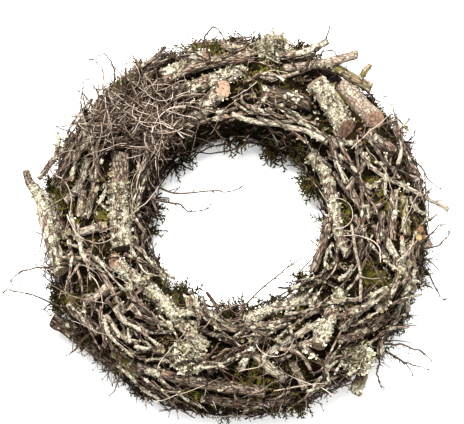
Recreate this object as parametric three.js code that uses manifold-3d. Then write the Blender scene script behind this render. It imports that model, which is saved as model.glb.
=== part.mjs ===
// A moss wreath lying on its back: a ring of bound brushwood, moss mats saddled over it, cut branches crusted
// with lichen laid across the moss, sprays of fine birch twigs laid over those, and tufts of leafy lichen.
// Millimetres, +Z up. The origin is on the surface, under the middle of the whole spread, twig tips included.
import * as THREE from "three";
import { mergeVertices } from "three/addons/utils/BufferGeometryUtils.js";
import Module from "manifold-3d";

const wasm = await Module();
wasm.setup();

// Where the middle of the whole spread lies in the plan that all places here are measured in. It becomes the
// origin.
const MIDDLE = { x: 0, y: 3.2 };
// The ring: its centre in plan, the radius of its middle line, and the sections of core and moss.
const RING = { x: 8, y: -6, radius: 142 };
const CORE = { halfWidth: 33, top: 54, foot: 17, bulge: 24 };
const MOSS = { halfWidth: 51, top: 68, side: 24, lowest: 7, relief: 6, mats: 5, seam: 0.5 };
// Clearances: between solids that touch, between pieces laid on each other, and above the surface.
const GAP = 0.35;
const LAID_CLEARANCE = 0.35;
const FLOOR_CLEARANCE = 4;
// How a piece settles: its axis lies this many radii above the moss, and it never slopes more than this.
// Stations are the places along it that are tested. A twig leaves its root over the first millimetres of its
// run, and beyond the ring's sides its springy tip falls only a share as steeply.
const SETTLE = {
  branch: { press: 0.3, slope: 0.25 },
  twig: { press: 1.1, slope: 0.35 },
  stem: { press: 0.2, slope: 0.5 },
};
const STATION = 2.5;
const ROOT_RUN = 14;
const SPRING = 0.15;
const BARK_RELIEF = 0.1;
const BRIDGING = 10;
const LOBE_THICK = 1.4;

const COLOURS = {
  lichened: 0xaaa78c,
  bark: 0x80705f,
  dark: 0x4f4238,
  bare: 0xb59a7e,
  mossy: 0x7a7548,
  twig: 0x6f5f52,
  pale: 0xc0b9a0,
  moss: 0x56602a,
  lichen: 0xc4c6a6,
  brushwood: 0x3d3128,
};

// The thick branches, in the order they are laid. Each has a plan route, the radius at its ends, and a look.
// Forks grow from its axis. Lower is how far it is let down until the flats of its bark meet what bears it.
const BRANCHES = [
  { name: "dark_log_top_right", look: "dark", route: [[34, 123], [84, 110]], radii: [9, 9] },
  {
    name: "low_branch_bottom", look: "dark",
    route: [[-26, -186], [20, -191], [64, -186]], radii: [5, 5.5],
  },
  {
    name: "dark_log_lower_left", look: "dark",
    route: [[-178, -104], [-146, -127], [-112, -152]], radii: [8, 7],
  },
  { name: "bark_strip_left", look: "bark", route: [[-179, 20], [-168, -22]], radii: [5, 5.5] },
  {
    name: "lichened_branch_left_rim", look: "lichened",
    route: [[-208, 47], [-201, 31], [-190, 16], [-180, -20], [-165, -62]], radii: [3.8, 8],
  },
  { name: "bare_stub_left", look: "bare", route: [[-147, 22], [-149, -6]], radii: [4.5, 4.5], lower: 0.9 },
  { name: "tan_stub_right_rim", look: "bare", route: [[190, -16], [203, -34]], radii: [5.5, 6.5] },
  { name: "grey_stub_right_rim", look: "bark", route: [[182, 71], [188, 40]], radii: [4.5, 5] },
  { name: "lichened_log_top_left", look: "lichened", route: [[-67, 139], [-21, 163]], radii: [8.5, 8.5] },
  { name: "brown_stub_top_left", look: "bark", route: [[-72, 118], [-40, 128]], radii: [6.5, 6] },
  { name: "orange_stub_top", look: "bark", route: [[-9, 179], [18, 171]], radii: [5.5, 6] },
  { name: "orange_stub_far_left", look: "bare", route: [[-120, 126], [-106, 113]], radii: [5, 5.5] },
  { name: "lichened_branch_top", look: "lichened", route: [[14, 149], [-42, 120]], radii: [7, 8.5] },
  {
    name: "bark_branch_top", look: "bark",
    route: [[27, 160], [-30, 148], [-75, 127]], radii: [6, 4.5], lower: 1.15,
  },
  { name: "cut_stub_top_inside", look: "lichened", route: [[-36, 94], [-5, 123]], radii: [7.5, 9] },
  { name: "big_log_upper_right", look: "lichened", route: [[88, 130], [120, 83]], radii: [10.5, 11.5] },
  { name: "bare_log_upper_right", look: "bare", route: [[115, 135], [150, 96]], radii: [9.5, 10.5] },
  { name: "cut_stub_right", look: "bark", route: [[141, 81], [166, 63]], radii: [6, 7] },
  {
    name: "forked_branch_top_right", look: "mossy",
    route: [[108, 149], [147, 130]], radii: [5, 5.5], lower: 1.35,
    forks: [{ route: [[134, 138], [146, 154]], radii: [3.2, 3] }],
  },
  {
    name: "level_branch_top_right", look: "bare",
    route: [[58, 149], [95, 151], [131, 158]], radii: [4.5, 5], lower: 2.2,
  },
  {
    name: "lichened_branch_right_inside", look: "lichened",
    route: [[82, 62], [99, 44], [106, 14], [110, -14], [120, -45]], radii: [7.5, 5],
  },
  {
    name: "thin_branch_right_inside", look: "bark",
    route: [[101, -6], [95, -32], [86, -60]], radii: [5, 4.5], lower: 1.2,
  },
  { name: "bark_branch_right", look: "bark", route: [[167, 22], [164, -30]], radii: [5, 4.5] },
  { name: "bark_branch_far_right", look: "mossy", route: [[178, 17], [180, -24]], radii: [4.2, 4.2] },
  {
    name: "cut_log_left", look: "lichened",
    route: [[-109, 60], [-110, 12], [-106, -38]], radii: [9.5, 11.5],
  },
  {
    name: "lichened_twig_left", look: "pale",
    route: [[-141, 54], [-151, 24], [-163, 10]], radii: [4, 3], lower: 1.2,
  },
  { name: "cut_stub_left", look: "pale", route: [[-157, -24], [-125, -16]], radii: [4.2, 5] },
  { name: "mossy_branch_lower_left", look: "mossy", route: [[-116, -139], [-86, -162]], radii: [5, 6] },
  {
    name: "long_branch_lower_left", look: "lichened",
    route: [[-114, -52], [-70, -88], [-22, -139]], radii: [7, 7.5],
  },
  {
    name: "brown_branch_bottom", look: "bark",
    route: [[-90, -157], [-30, -171], [36, -181]], radii: [5.5, 6],
  },
  {
    name: "lichened_branch_inside_bottom", look: "lichened",
    route: [[13, -111], [52, -96], [92, -86]], radii: [5, 5],
  },
  {
    name: "forked_branch_bottom", look: "pale", route: [[18, -139], [57, -169]], radii: [4.5, 5],
    forks: [{ route: [[32, -150], [60, -130], [92, -112]], radii: [4.2, 3.4] }],
  },
  {
    name: "lichened_branch_lower_right", look: "lichened",
    route: [[113, -80], [88, -138]], radii: [6.5, 7.5], lower: 1.25,
  },
  {
    name: "knotty_branch_lower_right", look: "bark",
    route: [[108, -130], [134, -121], [162, -103]], radii: [5, 5],
  },
  { name: "green_branch_bottom_right", look: "mossy", route: [[141, -144], [129, -179]], radii: [6, 5.5] },
  { name: "peeled_stub_bottom", look: "bare", route: [[63, -151], [76, -178]], radii: [4, 4] },
  {
    name: "long_twig_right", look: "pale",
    route: [[132, 62], [148, 42], [185, 24], [224, 5]], radii: [2.6, 2.2],
    forks: [{ route: [[160, 36], [141, 21]], radii: [2.2, 1.8] }],
  },
];

// The fine twigs. A spray has a short stem sunk in the moss; its twigs grow from the stem, each with its plan
// route and its radius at root and tip.
const SPRAYS = [
  {
    name: "spray_top_left", stem: [[-140, 84], [-118, 112]],
    twigs: [
      { route: [[-139, 86], [-148, 100], [-150, 125], [-147, 146]], radii: [1.3, 0.8] },
      { route: [[-126, 102], [-134, 126], [-147, 146]], radii: [1.2, 0.8] },
      { route: [[-131, 96], [-145, 121], [-159, 134]], radii: [1.2, 0.8] },
      { route: [[-121, 108], [-129, 130], [-131, 155], [-141, 164]], radii: [1.2, 0.8] },
      { route: [[-119, 111], [-117, 146], [-121, 157], [-128, 166], [-137, 161]], radii: [1.2, 0.8] },
      { route: [[-134, 92], [-152, 96], [-160, 92]], radii: [1.3, 0.9] },
      { route: [[-138, 87], [-152, 76], [-163, 69]], radii: [1.3, 0.9] },
    ],
  },
  {
    name: "spray_brush_left", stem: [[-127, 52], [-104, 84]],
    twigs: [
      { route: [[-122, 60], [-116, 84], [-108, 104], [-90, 126]], radii: [1.7, 1.1] },
      { route: [[-126, 54], [-128, 76], [-131, 104]], radii: [1.6, 1] },
      { route: [[-110, 76], [-92, 92], [-78, 110]], radii: [1.6, 1] },
      { route: [[-106, 82], [-100, 110], [-104, 128]], radii: [1.5, 1] },
      { route: [[-114, 70], [-97, 84], [-70, 90], [-56, 104]], radii: [1.6, 1.1] },
      { route: [[-118, 66], [-134, 84], [-140, 98]], radii: [1.4, 1] },
      { route: [[-124, 58], [-146, 66], [-158, 78]], radii: [1.5, 1] },
      { route: [[-108, 78], [-88, 82], [-72, 76]], radii: [1.5, 1] },
      { route: [[-112, 73], [-120, 96], [-117, 118]], radii: [1.5, 1] },
    ],
  },
  {
    name: "spray_brush_top_left", stem: [[-84, 92], [-58, 108]],
    twigs: [
      { route: [[-80, 94], [-62, 84], [-38, 92], [-20, 88]], radii: [1.6, 1.1] },
      { route: [[-64, 104], [-53, 118], [-44, 131]], radii: [1.6, 1.1] },
      { route: [[-82, 93], [-98, 106], [-118, 114]], radii: [1.5, 1] },
      { route: [[-60, 107], [-43, 113], [-22, 92], [-4, 70]], radii: [1.7, 1.1] },
      { route: [[-70, 101], [-78, 118], [-88, 138]], radii: [1.5, 1] },
      { route: [[-76, 97], [-72, 80], [-62, 66], [-40, 62]], radii: [1.5, 1] },
      { route: [[-66, 103], [-86, 114], [-108, 118]], radii: [1.5, 1] },
      { route: [[-62, 106], [-34, 100], [-14, 104]], radii: [1.4, 1] },
    ],
  },
  {
    name: "spray_top", stem: [[-22, 150], [4, 158]],
    twigs: [
      { route: [[-18, 152], [-24, 176], [-19, 187], [-12, 188], [-4, 178], [6, 164]], radii: [1.3, 0.9] },
      { route: [[-20, 151], [-38, 164], [-53, 176]], radii: [1.3, 0.8] },
      { route: [[0, 157], [14, 176], [10, 184]], radii: [1.2, 0.9] },
      { route: [[2, 158], [24, 172], [32, 182]], radii: [1.2, 0.9] },
      { route: [[-14, 153], [-40, 158], [-66, 162]], radii: [1.3, 0.9] },
    ],
  },
  {
    name: "spray_top_long_twig", stem: [[26, 112], [34, 92]],
    twigs: [
      { route: [[31, 106], [22, 138], [10, 147]], radii: [1.8, 1.2] },
      { route: [[34, 94], [46, 88], [66, 72]], radii: [1.8, 1.2] },
      { route: [[33, 97], [22, 84], [12, 69], [-14, 64], [-34, 66]], radii: [1.5, 0.9] },
      { route: [[31, 106], [52, 112], [70, 120]], radii: [1.4, 1] },
      { route: [[28, 110], [4, 96], [-12, 80]], radii: [1.4, 1] },
    ],
  },
  {
    name: "spray_top_right", stem: [[66, 136], [84, 142]],
    twigs: [
      { route: [[80, 140], [84, 158], [96, 169], [102, 184], [103, 194], [108, 203]], radii: [1.3, 0.8] },
      { route: [[76, 139], [84, 157], [91, 170]], radii: [1.2, 0.8] },
      { route: [[82, 141], [94, 160], [104, 163], [112, 156]], radii: [1.2, 0.9] },
      { route: [[70, 137], [66, 158], [74, 168]], radii: [1.2, 0.9] },
      { route: [[72, 138], [58, 164], [56, 176]], radii: [1.2, 0.9] },
    ],
  },
  {
    name: "spray_right_upper", stem: [[170, 62], [178, 40]],
    twigs: [
      { route: [[172, 58], [190, 52], [205, 33], [218, 22]], radii: [1.3, 0.8] },
      { route: [[176, 46], [196, 36], [203, 22]], radii: [1.2, 0.8] },
      { route: [[170, 61], [184, 74], [196, 92]], radii: [1.2, 0.8] },
      { route: [[177, 42], [160, 34], [148, 14], [150, -8]], radii: [1.7, 1.1] },
      { route: [[171, 60], [150, 64], [122, 66], [100, 68]], radii: [1.8, 1.2] },
    ],
  },
  {
    name: "spray_right_lower", stem: [[184, -38], [178, -60]],
    twigs: [
      { route: [[183, -42], [200, -28], [212, -14], [224, -10]], radii: [1.3, 0.8] },
      { route: [[183, -41], [208, -34], [219, -26], [227, -12]], radii: [1.2, 0.8] },
      { route: [[181, -48], [200, -58], [211, -80], [218, -89]], radii: [1.3, 0.8] },
      { route: [[182, -45], [200, -46], [213, -57]], radii: [1.2, 0.8] },
      { route: [[179, -56], [196, -70], [207, -76]], radii: [1.2, 0.8] },
      { route: [[179, -57], [168, -66], [154, -78]], radii: [2.2, 1.6] },
      { route: [[182, -46], [156, -46], [142, -60]], radii: [1.4, 1] },
    ],
  },
  {
    name: "spray_bottom_right", stem: [[150, -128], [162, -140]],
    twigs: [
      { route: [[160, -138], [180, -148], [192, -152], [204, -155]], radii: [1.2, 0.8] },
      { route: [[161, -139], [178, -149], [188, -161]], radii: [1.2, 0.8] },
      { route: [[154, -132], [176, -132], [196, -139], [208, -148]], radii: [1.3, 0.9] },
      { route: [[156, -134], [150, -160], [156, -178]], radii: [1.3, 0.9] },
      { route: [[152, -130], [172, -116], [190, -110]], radii: [1.3, 0.9] },
      { route: [[151, -129], [138, -112], [128, -90], [128, -66]], radii: [1.8, 1.2] },
    ],
  },
  {
    name: "spray_bottom", stem: [[-30, -150], [-8, -156]],
    twigs: [
      { route: [[-28, -151], [-50, -154], [-66, -148], [-80, -140]], radii: [1.8, 1.2] },
      { route: [[-12, -155], [8, -150], [24, -140]], radii: [1.7, 1.1] },
      { route: [[-24, -152], [-10, -134], [0, -122]], radii: [1.6, 1.1] },
      { route: [[-28, -151], [-44, -172], [-54, -188]], radii: [1.6, 1] },
      { route: [[-18, -154], [-22, -176], [-14, -192]], radii: [1.4, 1] },
      { route: [[-10, -156], [16, -164], [32, -160]], radii: [1.4, 1] },
      { route: [[-14, -155], [2, -172], [8, -190]], radii: [1.4, 1] },
    ],
  },
  {
    name: "spray_lower_left", stem: [[-134, -100], [-116, -118]],
    twigs: [
      {
        route: [[-132, -102], [-158, -98], [-188, -86], [-208, -80], [-222, -77], [-227, -81]],
        radii: [1.3, 0.8],
      },
      { route: [[-132, -102], [-172, -93], [-183, -98], [-176, -106]], radii: [1.2, 0.9] },
      { route: [[-118, -116], [-102, -128], [-86, -143]], radii: [1.6, 1.1] },
      { route: [[-117, -117], [-126, -138], [-126, -156]], radii: [1.6, 1.1] },
      { route: [[-122, -112], [-142, -128], [-154, -142], [-162, -146]], radii: [1.3, 0.9] },
      { route: [[-118, -116], [-98, -112], [-82, -98]], radii: [1.5, 1] },
      { route: [[-120, -114], [-106, -148], [-112, -176], [-118, -186]], radii: [1.5, 0.9] },
    ],
  },
  {
    name: "spray_left", stem: [[-138, -48], [-122, -64]],
    twigs: [
      { route: [[-136, -50], [-176, -57], [-198, -59], [-213, -66], [-215, -74]], radii: [1.3, 0.8] },
      { route: [[-130, -56], [-112, -48], [-96, -54]], radii: [2, 1.3] },
      { route: [[-128, -58], [-118, -80], [-100, -100]], radii: [1.6, 1.1] },
      { route: [[-135, -51], [-150, -36], [-164, -12], [-182, 24]], radii: [1.6, 1] },
      { route: [[-133, -53], [-150, -72], [-168, -76]], radii: [1.3, 0.9] },
      { route: [[-134, -52], [-124, -30], [-142, 16]], radii: [1.6, 1.1] },
    ],
  },
  {
    name: "spray_hole_left", stem: [[-96, 30], [-90, 8]],
    twigs: [
      { route: [[-94, 22], [-72, 16], [-49, 12], [-37, 5], [-16, 8]], radii: [1.5, 0.8] },
      { route: [[-94, 22], [-76, 30], [-52, 24], [-12, 28], [1, 26], [20, 34]], radii: [1.4, 0.8] },
      { route: [[-95, 26], [-84, 40], [-68, 44]], radii: [1.3, 0.9] },
      { route: [[-91, 12], [-76, 2], [-70, -4]], radii: [1.3, 0.9] },
    ],
  },
  {
    name: "spray_hole_bottom", stem: [[0, -122], [22, -118]],
    twigs: [
      { route: [[16, -119], [13, -100], [31, -78], [58, -57], [69, -48], [80, -42]], radii: [1.3, 0.8] },
      { route: [[15, -119], [15, -96], [15, -80]], radii: [1.5, 1.1] },
      { route: [[4, -121], [-12, -108], [-28, -92], [-27, -82]], radii: [1.3, 0.9] },
      { route: [[2, -122], [-16, -112], [-24, -98]], radii: [1.3, 0.9] },
    ],
  },
];

// Tufts of leafy lichen: place in plan, spread, height, and how many lobes stand out of each.
const TUFTS = [
  { name: "lichen_tuft_bottom", at: [-40, -148], spread: 17, height: 15, lobes: 15 },
  { name: "lichen_tuft_lower_right", at: [128, -146], spread: 17, height: 14, lobes: 15 },
  { name: "lichen_tuft_top", at: [48, 172], spread: 14, height: 17, lobes: 14 },
];

// A seeded draw between 0 and 1, the same on every run.
function draws(seed) {
  let state = seed >>> 0;
  return () => {
    state = (state + 0x6d2b79f5) >>> 0;
    let mixed = Math.imul(state ^ (state >>> 15), 1 | state);
    mixed = (mixed + Math.imul(mixed ^ (mixed >>> 7), 61 | mixed)) ^ mixed;
    return ((mixed ^ (mixed >>> 14)) >>> 0) / 4294967296;
  };
}

// Lumps from 0 to 1 over two coordinates: three crossing waves whose phases follow the seed.
function lumps(u, v, seed) {
  const waves = Math.sin(3.1 * u + 1.7 * v + seed) + Math.sin(-2.3 * u + 4.9 * v + 2.1 * seed)
    + Math.sin(6.7 * u + 3.3 * v + 3.7 * seed);
  return (waves + 3) / 6;
}

// How far a plan place is from the ring's middle line, in half widths of the moss.
function offMiddle(x, y) {
  return Math.abs(Math.hypot(x - RING.x, y - RING.y) - RING.radius) / MOSS.halfWidth;
}

// The height of the moss's nominal surface over a plan place; beyond its sides it falls away.
function mossTop(x, y) {
  const off = offMiddle(x, y);
  if (off >= 1) return MOSS.side - (off - 1) * MOSS.halfWidth;
  return MOSS.side + (MOSS.top - MOSS.side) * Math.sqrt(1 - off * off);
}

// The lowest height the axis of a piece may have over a plan place, given what has been laid there before.
function restingHeight(x, y, radius, press, laid) {
  let height = Math.max(radius + FLOOR_CLEARANCE, mossTop(x, y) + press * radius);
  for (const other of laid) {
    const reach = radius + other.radius + LAID_CLEARANCE;
    const square = reach * reach - (x - other.x) ** 2 - (y - other.y) ** 2;
    if (square > 0) height = Math.max(height, other.z + Math.sqrt(square));
  }
  return height;
}

// Heights of a rigid limb at its stations: the lowest line that clears every floor within the slope limit.
function rigidHeights(floors, rise) {
  const last = floors.length - 1;
  let best = { middle: Infinity, tilt: 0 };
  for (let k = -20; k <= 20; k++) {
    const tilt = (rise * k) / 20;
    const middle = Math.max(...floors.map((floor, i) => floor - tilt * (i / last - 0.5)));
    if (middle < best.middle) best = { middle, tilt };
  }
  return floors.map((_, i) => best.middle + best.tilt * (i / last - 0.5));
}

// Heights of a supple limb: it drapes over its floors, bridges the dips, and leaves its root. The falls are
// the most that it may have dropped by each station.
function drapedHeights(floors, falls, root, step) {
  const held = [Math.max(root, floors[0]), ...floors.slice(1)];
  let heights = falls.map((fall) => Math.max(...held.map((floor, j) => floor - Math.abs(fall - falls[j]))));
  for (let pass = 0; pass < BRIDGING; pass++) {
    heights = heights.map((h, i) => Math.max(h, ((heights[i - 1] ?? h) + (heights[i + 1] ?? h)) / 2));
  }
  return heights.map((h, i) => {
    const left = Math.min(1, (i * step) / ROOT_RUN);
    return root + (h - root) * left * left * (3 - 2 * left);
  });
}

// Lays one limb down. Its route in plan is kept, and its height at each station clears all that lies below.
// A rigid limb tilts as a whole; a limb with a root is supple and starts at its parent's height.
function layDown(limb, laid, settle, root) {
  const knots = limb.route.map(([x, y]) => new THREE.Vector3(x, y, 0));
  const plan = new THREE.CatmullRomCurve3(knots, false, "catmullrom");
  const legs = limb.route.slice(1).map(([x, y], i) => Math.hypot(x - limb.route[i][0], y - limb.route[i][1]));
  const length = legs.reduce((sum, leg) => sum + leg);
  const steps = Math.max(4, Math.ceil(length / STATION));
  const radiusAt = (t) => limb.radii[0] + (limb.radii[1] - limb.radii[0]) * t;
  const places = Array.from({ length: steps + 1 }, (_, i) => plan.getPoint(i / steps));
  const floors = places.map(({ x, y }, i) => restingHeight(x, y, radiusAt(i / steps), settle.press, laid));
  const rise = settle.slope * length;
  const falls = [0];
  for (const { x, y } of places.slice(1)) {
    falls.push(falls[falls.length - 1] + (rise / steps) * (offMiddle(x, y) > 1 ? SPRING : 1));
  }
  const heights = root === undefined
    ? rigidHeights(floors, rise).map((height) => height - (limb.lower ?? 0))
    : drapedHeights(floors, falls, root, length / steps);
  const at = (t) => {
    const i = Math.min(steps - 1, Math.floor(t * steps));
    const place = plan.getPoint(t);
    place.z = heights[i] + (heights[i + 1] - heights[i]) * (t * steps - i);
    return place;
  };
  const spheres = places.map(({ x, y }, i) => ({ x, y, z: heights[i], radius: radiusAt(i / steps) }));
  return { at, length, radii: limb.radii, spheres };
}

// A tube of polygon rings carried along a limb's axis. Its flat ends reach past the limb's own by a length.
// Every other ring may be turned by half a side, and the radius follows the ring and the angle round it.
function tubeSkin(limb, sides, rings, { reach = 0, turned = false, radiusOf }) {
  const centres = Array.from({ length: rings + 1 }, (_, i) => limb.at(i / rings));
  const position = [];
  let up = new THREE.Vector3(0, 0, 1);
  centres.forEach((centre, i) => {
    const along = centres[Math.min(rings, i + 1)].clone().sub(centres[Math.max(0, i - 1)]).normalize();
    up = up.clone().addScaledVector(along, -up.dot(along)).normalize();
    const across = new THREE.Vector3().crossVectors(along, up);
    const past = i === 0 ? -reach : i === rings ? reach : 0;
    for (let j = 0; j < sides; j++) {
      const angle = (2 * Math.PI * (j + (turned ? 0.5 * (i % 2) : 0))) / sides;
      const radius = radiusOf(i / rings, angle);
      const point = centre.clone().addScaledVector(along, past)
        .addScaledVector(up, radius * Math.cos(angle)).addScaledVector(across, radius * Math.sin(angle));
      position.push(point.x, point.y, point.z);
    }
  });
  const faces = [];
  for (let i = 0; i < rings; i++) {
    for (let j = 0; j < sides; j++) {
      const a = i * sides + j, b = i * sides + ((j + 1) % sides);
      const c = a + sides, d = b + sides;
      if (turned && i % 2) faces.push(a, c, d, a, d, b);
      else faces.push(a, c, b, b, c, d);
    }
  }
  const last = rings * sides;
  for (let j = 1; j < sides - 1; j++) faces.push(0, j, j + 1, last, last + j + 1, last + j);
  return skinOf(position, faces);
}

const taper = (limb, t) => limb.radii[0] + (limb.radii[1] - limb.radii[0]) * t;

// The skin of a limb, its radius eased inwards by lumps of bark.
function limbSkin(limb, sides, rings, relief, seed) {
  return tubeSkin(limb, sides, rings, {
    turned: true,
    radiusOf: (t, angle) => taper(limb, t) * (1 - relief * lumps(angle, 7 * t, seed)),
  });
}

// The room that a limb takes in its neighbours: a plain tube that clears its skin by the gap all round.
function limbRoom(limb, sides, rings) {
  return tubeSkin(limb, sides, rings, {
    reach: GAP,
    radiusOf: (t) => (taper(limb, t) + GAP) / Math.cos(Math.PI / sides),
  });
}

function skinOf(position, faces) {
  const geometry = new THREE.BufferGeometry();
  geometry.setAttribute("position", new THREE.Float32BufferAttribute(position, 3));
  geometry.setIndex(faces);
  return geometry;
}

// A closed skin as a manifold solid, its faces turned outwards if they point in.
function solidOf(geometry) {
  const bare = geometry.clone();
  ["normal", "uv"].forEach((name) => bare.deleteAttribute(name));
  const merged = mergeVertices(bare, 1e-4);
  const build = (triVerts) => new wasm.Manifold(
    new wasm.Mesh({ numProp: 3, vertProperties: merged.attributes.position.array, triVerts }),
  );
  const triVerts = new Uint32Array(merged.index.array);
  const made = build(triVerts);
  if (made.volume() > 0) return made;
  for (let i = 0; i < triVerts.length; i += 3) {
    [triVerts[i + 1], triVerts[i + 2]] = [triVerts[i + 2], triVerts[i + 1]];
  }
  return build(triVerts);
}

function geometryOf(solid) {
  const mesh = solid.getMesh();
  return skinOf(mesh.vertProperties, Array.from(mesh.triVerts));
}

// The largest body of a solid; cutting can leave loose scraps, which are dropped.
function largestBody(solid) {
  return solid.decompose().sort((a, b) => b.volume() - a.volume())[0];
}

const together = (solids) => solids.reduce((sum, solid) => sum.add(solid));

// Two boxes of solids overlap.
function near(a, b) {
  const p = a.boundingBox(), q = b.boundingBox();
  return [0, 1, 2].every((i) => p.min[i] <= q.max[i] && q.min[i] <= p.max[i]);
}

function cutBy(solid, cutters) {
  const reaching = cutters.filter((cutter) => near(solid, cutter));
  return reaching.reduce((left, cutter) => left.subtract(cutter), solid);
}

// The station of a limb that is nearest to a plan place.
function nearestStation(limb, [x, y]) {
  const away = (station) => Math.hypot(station.x - x, station.y - y);
  return limb.spheres.reduce((best, station) => (away(station) < away(best) ? station : best));
}

// A point of a ring section: the turn round the ring, the offset from its middle line, and the height.
function onRing(turn, offset, height) {
  const radius = RING.radius + offset;
  return [RING.x + radius * Math.cos(turn), RING.y + radius * Math.sin(turn), height];
}

// The bound brushwood core: a flat foot, round shoulders, and the slanting ridges of wound twigs.
function coreSkin(turns, points, grow = 0) {
  const position = [], faces = [];
  for (let i = 0; i < turns; i++) {
    const turn = (2 * Math.PI * i) / turns;
    position.push(...onRing(turn, -CORE.foot - grow, -grow), ...onRing(turn, CORE.foot + grow, -grow));
    for (let j = 0; j < points - 2; j++) {
      const angle = (Math.PI * (j + 0.5)) / (points - 2);
      const ridge = grow > 0 ? 1 : 0.965 + 0.035 * Math.cos(3 * angle + 16 * turn);
      const offset = (CORE.halfWidth * ridge + grow) * Math.cos(angle);
      const height = CORE.bulge * 0.55 + (CORE.top - CORE.bulge * 0.55) * Math.sin(angle) * ridge + grow;
      position.push(...onRing(turn, offset, height));
    }
  }
  for (let i = 0; i < turns; i++) {
    for (let j = 0; j < points; j++) {
      const a = i * points + j, b = i * points + ((j + 1) % points);
      const c = ((i + 1) % turns) * points + j, d = ((i + 1) % turns) * points + ((j + 1) % points);
      faces.push(a, c, b, b, c, d);
    }
  }
  return skinOf(position, faces);
}

// One moss mat before it is hollowed over the core: a bent pad, each of its tufts eased in by its own draw.
function matSkin(from, to, across, along, seed) {
  const draw = draws(seed);
  const position = [], faces = [];
  const lowest = Math.PI * 0.09;
  for (let i = 0; i <= along; i++) {
    for (let j = 0; j <= across; j++) {
      const shift = i % along && j % across ? 0.45 * (draw() - 0.5) : 0;
      const turn = from + ((to - from) * (i + shift)) / along;
      const angle = -lowest + ((Math.PI + 2 * lowest) * j) / across;
      const eased = MOSS.relief * draw();
      const offset = (MOSS.halfWidth - eased) * Math.cos(angle);
      const rise = Math.sin(angle);
      const height = rise < 0
        ? MOSS.side + (MOSS.side - MOSS.lowest) * (rise / Math.sin(lowest))
        : MOSS.side + (MOSS.top - MOSS.side - eased) * rise;
      position.push(...onRing(turn, offset, height));
    }
  }
  const row = across + 1;
  for (let i = 0; i < along; i++) {
    for (let j = 0; j < row; j++) {
      const a = i * row + j, b = i * row + ((j + 1) % row), c = a + row, d = b + row;
      faces.push(a, c, b, b, c, d);
    }
  }
  const last = along * row;
  for (let j = 1; j < row - 1; j++) faces.push(0, j, j + 1, last, last + j + 1, last + j);
  return skinOf(position, faces);
}

// One lobe of leafy lichen: a thin wedge that leans outwards from its root and widens to a blunt edge.
function lobeSkin(root, { outward, upward, length, width }, thick, grow = 0) {
  const flat = Math.cos(upward);
  const lean = new THREE.Vector3(Math.cos(outward) * flat, Math.sin(outward) * flat, Math.sin(upward));
  const side = new THREE.Vector3(-Math.sin(outward), Math.cos(outward), 0);
  const face = new THREE.Vector3().crossVectors(lean, side);
  const corner = (far, left, top) => root.clone().addScaledVector(lean, far * length + (far ? grow : -grow))
    .addScaledVector(side, left * ((width * (0.35 + 0.65 * far)) / 2 + grow))
    .addScaledVector(face, top * (thick / 2 + grow));
  const position = [];
  for (const far of [0, 1]) {
    for (const [left, top] of [[-1, -1], [1, -1], [1, 1], [-1, 1]]) {
      position.push(...corner(far, left, top).toArray());
    }
  }
  const ends = [0, 2, 1, 0, 3, 2, 4, 5, 6, 4, 6, 7];
  const sides = [0, 1, 5, 0, 5, 4, 1, 2, 6, 1, 6, 5, 2, 3, 7, 2, 7, 6, 3, 0, 4, 3, 4, 7];
  return skinOf(position, [...ends, ...sides]);
}

// The low mound that a lichen tuft's lobes stand out of.
function moundSkin(centre, spread, height, grow = 0) {
  const mound = new THREE.SphereGeometry(1, 8, 5);
  mound.scale(spread * 0.55 + grow, spread * 0.55 + grow, height * 0.6 + grow);
  mound.rotateX(Math.PI / 2);
  mound.translate(centre.x, centre.y, centre.z);
  return mound;
}

const group = new THREE.Group();

// Adds a solid as a named mesh, moved from the plan's place to the origin.
function addNode(name, solid, colour) {
  const placed = solid.translate(-MIDDLE.x, -MIDDLE.y, 0);
  const material = new THREE.MeshStandardMaterial({ color: COLOURS[colour], roughness: 0.9, metalness: 0 });
  const mesh = new THREE.Mesh(geometryOf(placed), material);
  mesh.name = name;
  group.add(mesh);
}

const laid = [];
const cutters = [];

// Thick branches, each laid on the moss and on the branches before it.
BRANCHES.forEach((branch, index) => {
  const limbs = [layDown(branch, laid, SETTLE.branch)];
  for (const fork of branch.forks ?? []) {
    limbs.push(layDown(fork, laid, SETTLE.twig, nearestStation(limbs[0], fork.route[0]).z));
  }
  limbs.forEach((limb) => laid.push(...limb.spheres));
  const skins = limbs.map((limb, k) => {
    const radius = Math.max(...limb.radii);
    const sides = radius > 6 ? 8 : radius > 3.5 ? 7 : 6;
    const rings = Math.max(3, Math.round(limb.length / (radius * 1.6 + 3)));
    cutters.push(solidOf(limbRoom(limb, 7, rings)));
    return solidOf(limbSkin(limb, sides, rings, BARK_RELIEF, index + k * 0.5));
  });
  addNode(branch.name, together(skins), branch.look);
});

// Lichen tufts, seated on the moss between the branches and cut clear of them.
const mounds = [];
TUFTS.forEach((tuft, index) => {
  const draw = draws(100 + index);
  const [x, y] = tuft.at;
  const seat = mossTop(x, y);
  const centre = new THREE.Vector3(x, y, seat + 1);
  const lobes = Array.from({ length: tuft.lobes }, (_, k) => ({
    outward: k * 2.4 + draw() * 0.5,
    upward: 0.25 + 1.1 * (1 - Math.sqrt((k + 0.5) / tuft.lobes)) + draw() * 0.2,
    length: tuft.spread * (0.85 + 0.2 * draw()),
    width: tuft.spread * 0.42,
  }));
  const made = (grow) => together([
    solidOf(moundSkin(centre, tuft.spread, tuft.height, grow)),
    ...lobes.map((lobe) => {
      const step = new THREE.Vector3(Math.cos(lobe.outward), Math.sin(lobe.outward), 0);
      const from = centre.clone().addScaledVector(step, tuft.spread * 0.12);
      return solidOf(lobeSkin(from, lobe, LOBE_THICK, grow));
    }),
  ]);
  addNode(tuft.name, largestBody(cutBy(made(0), cutters)), "lichen");
  mounds.push(made(GAP));
  const dome = tuft.spread * 0.8;
  laid.push({ x, y, z: seat + tuft.height - dome, radius: dome });
});

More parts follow.
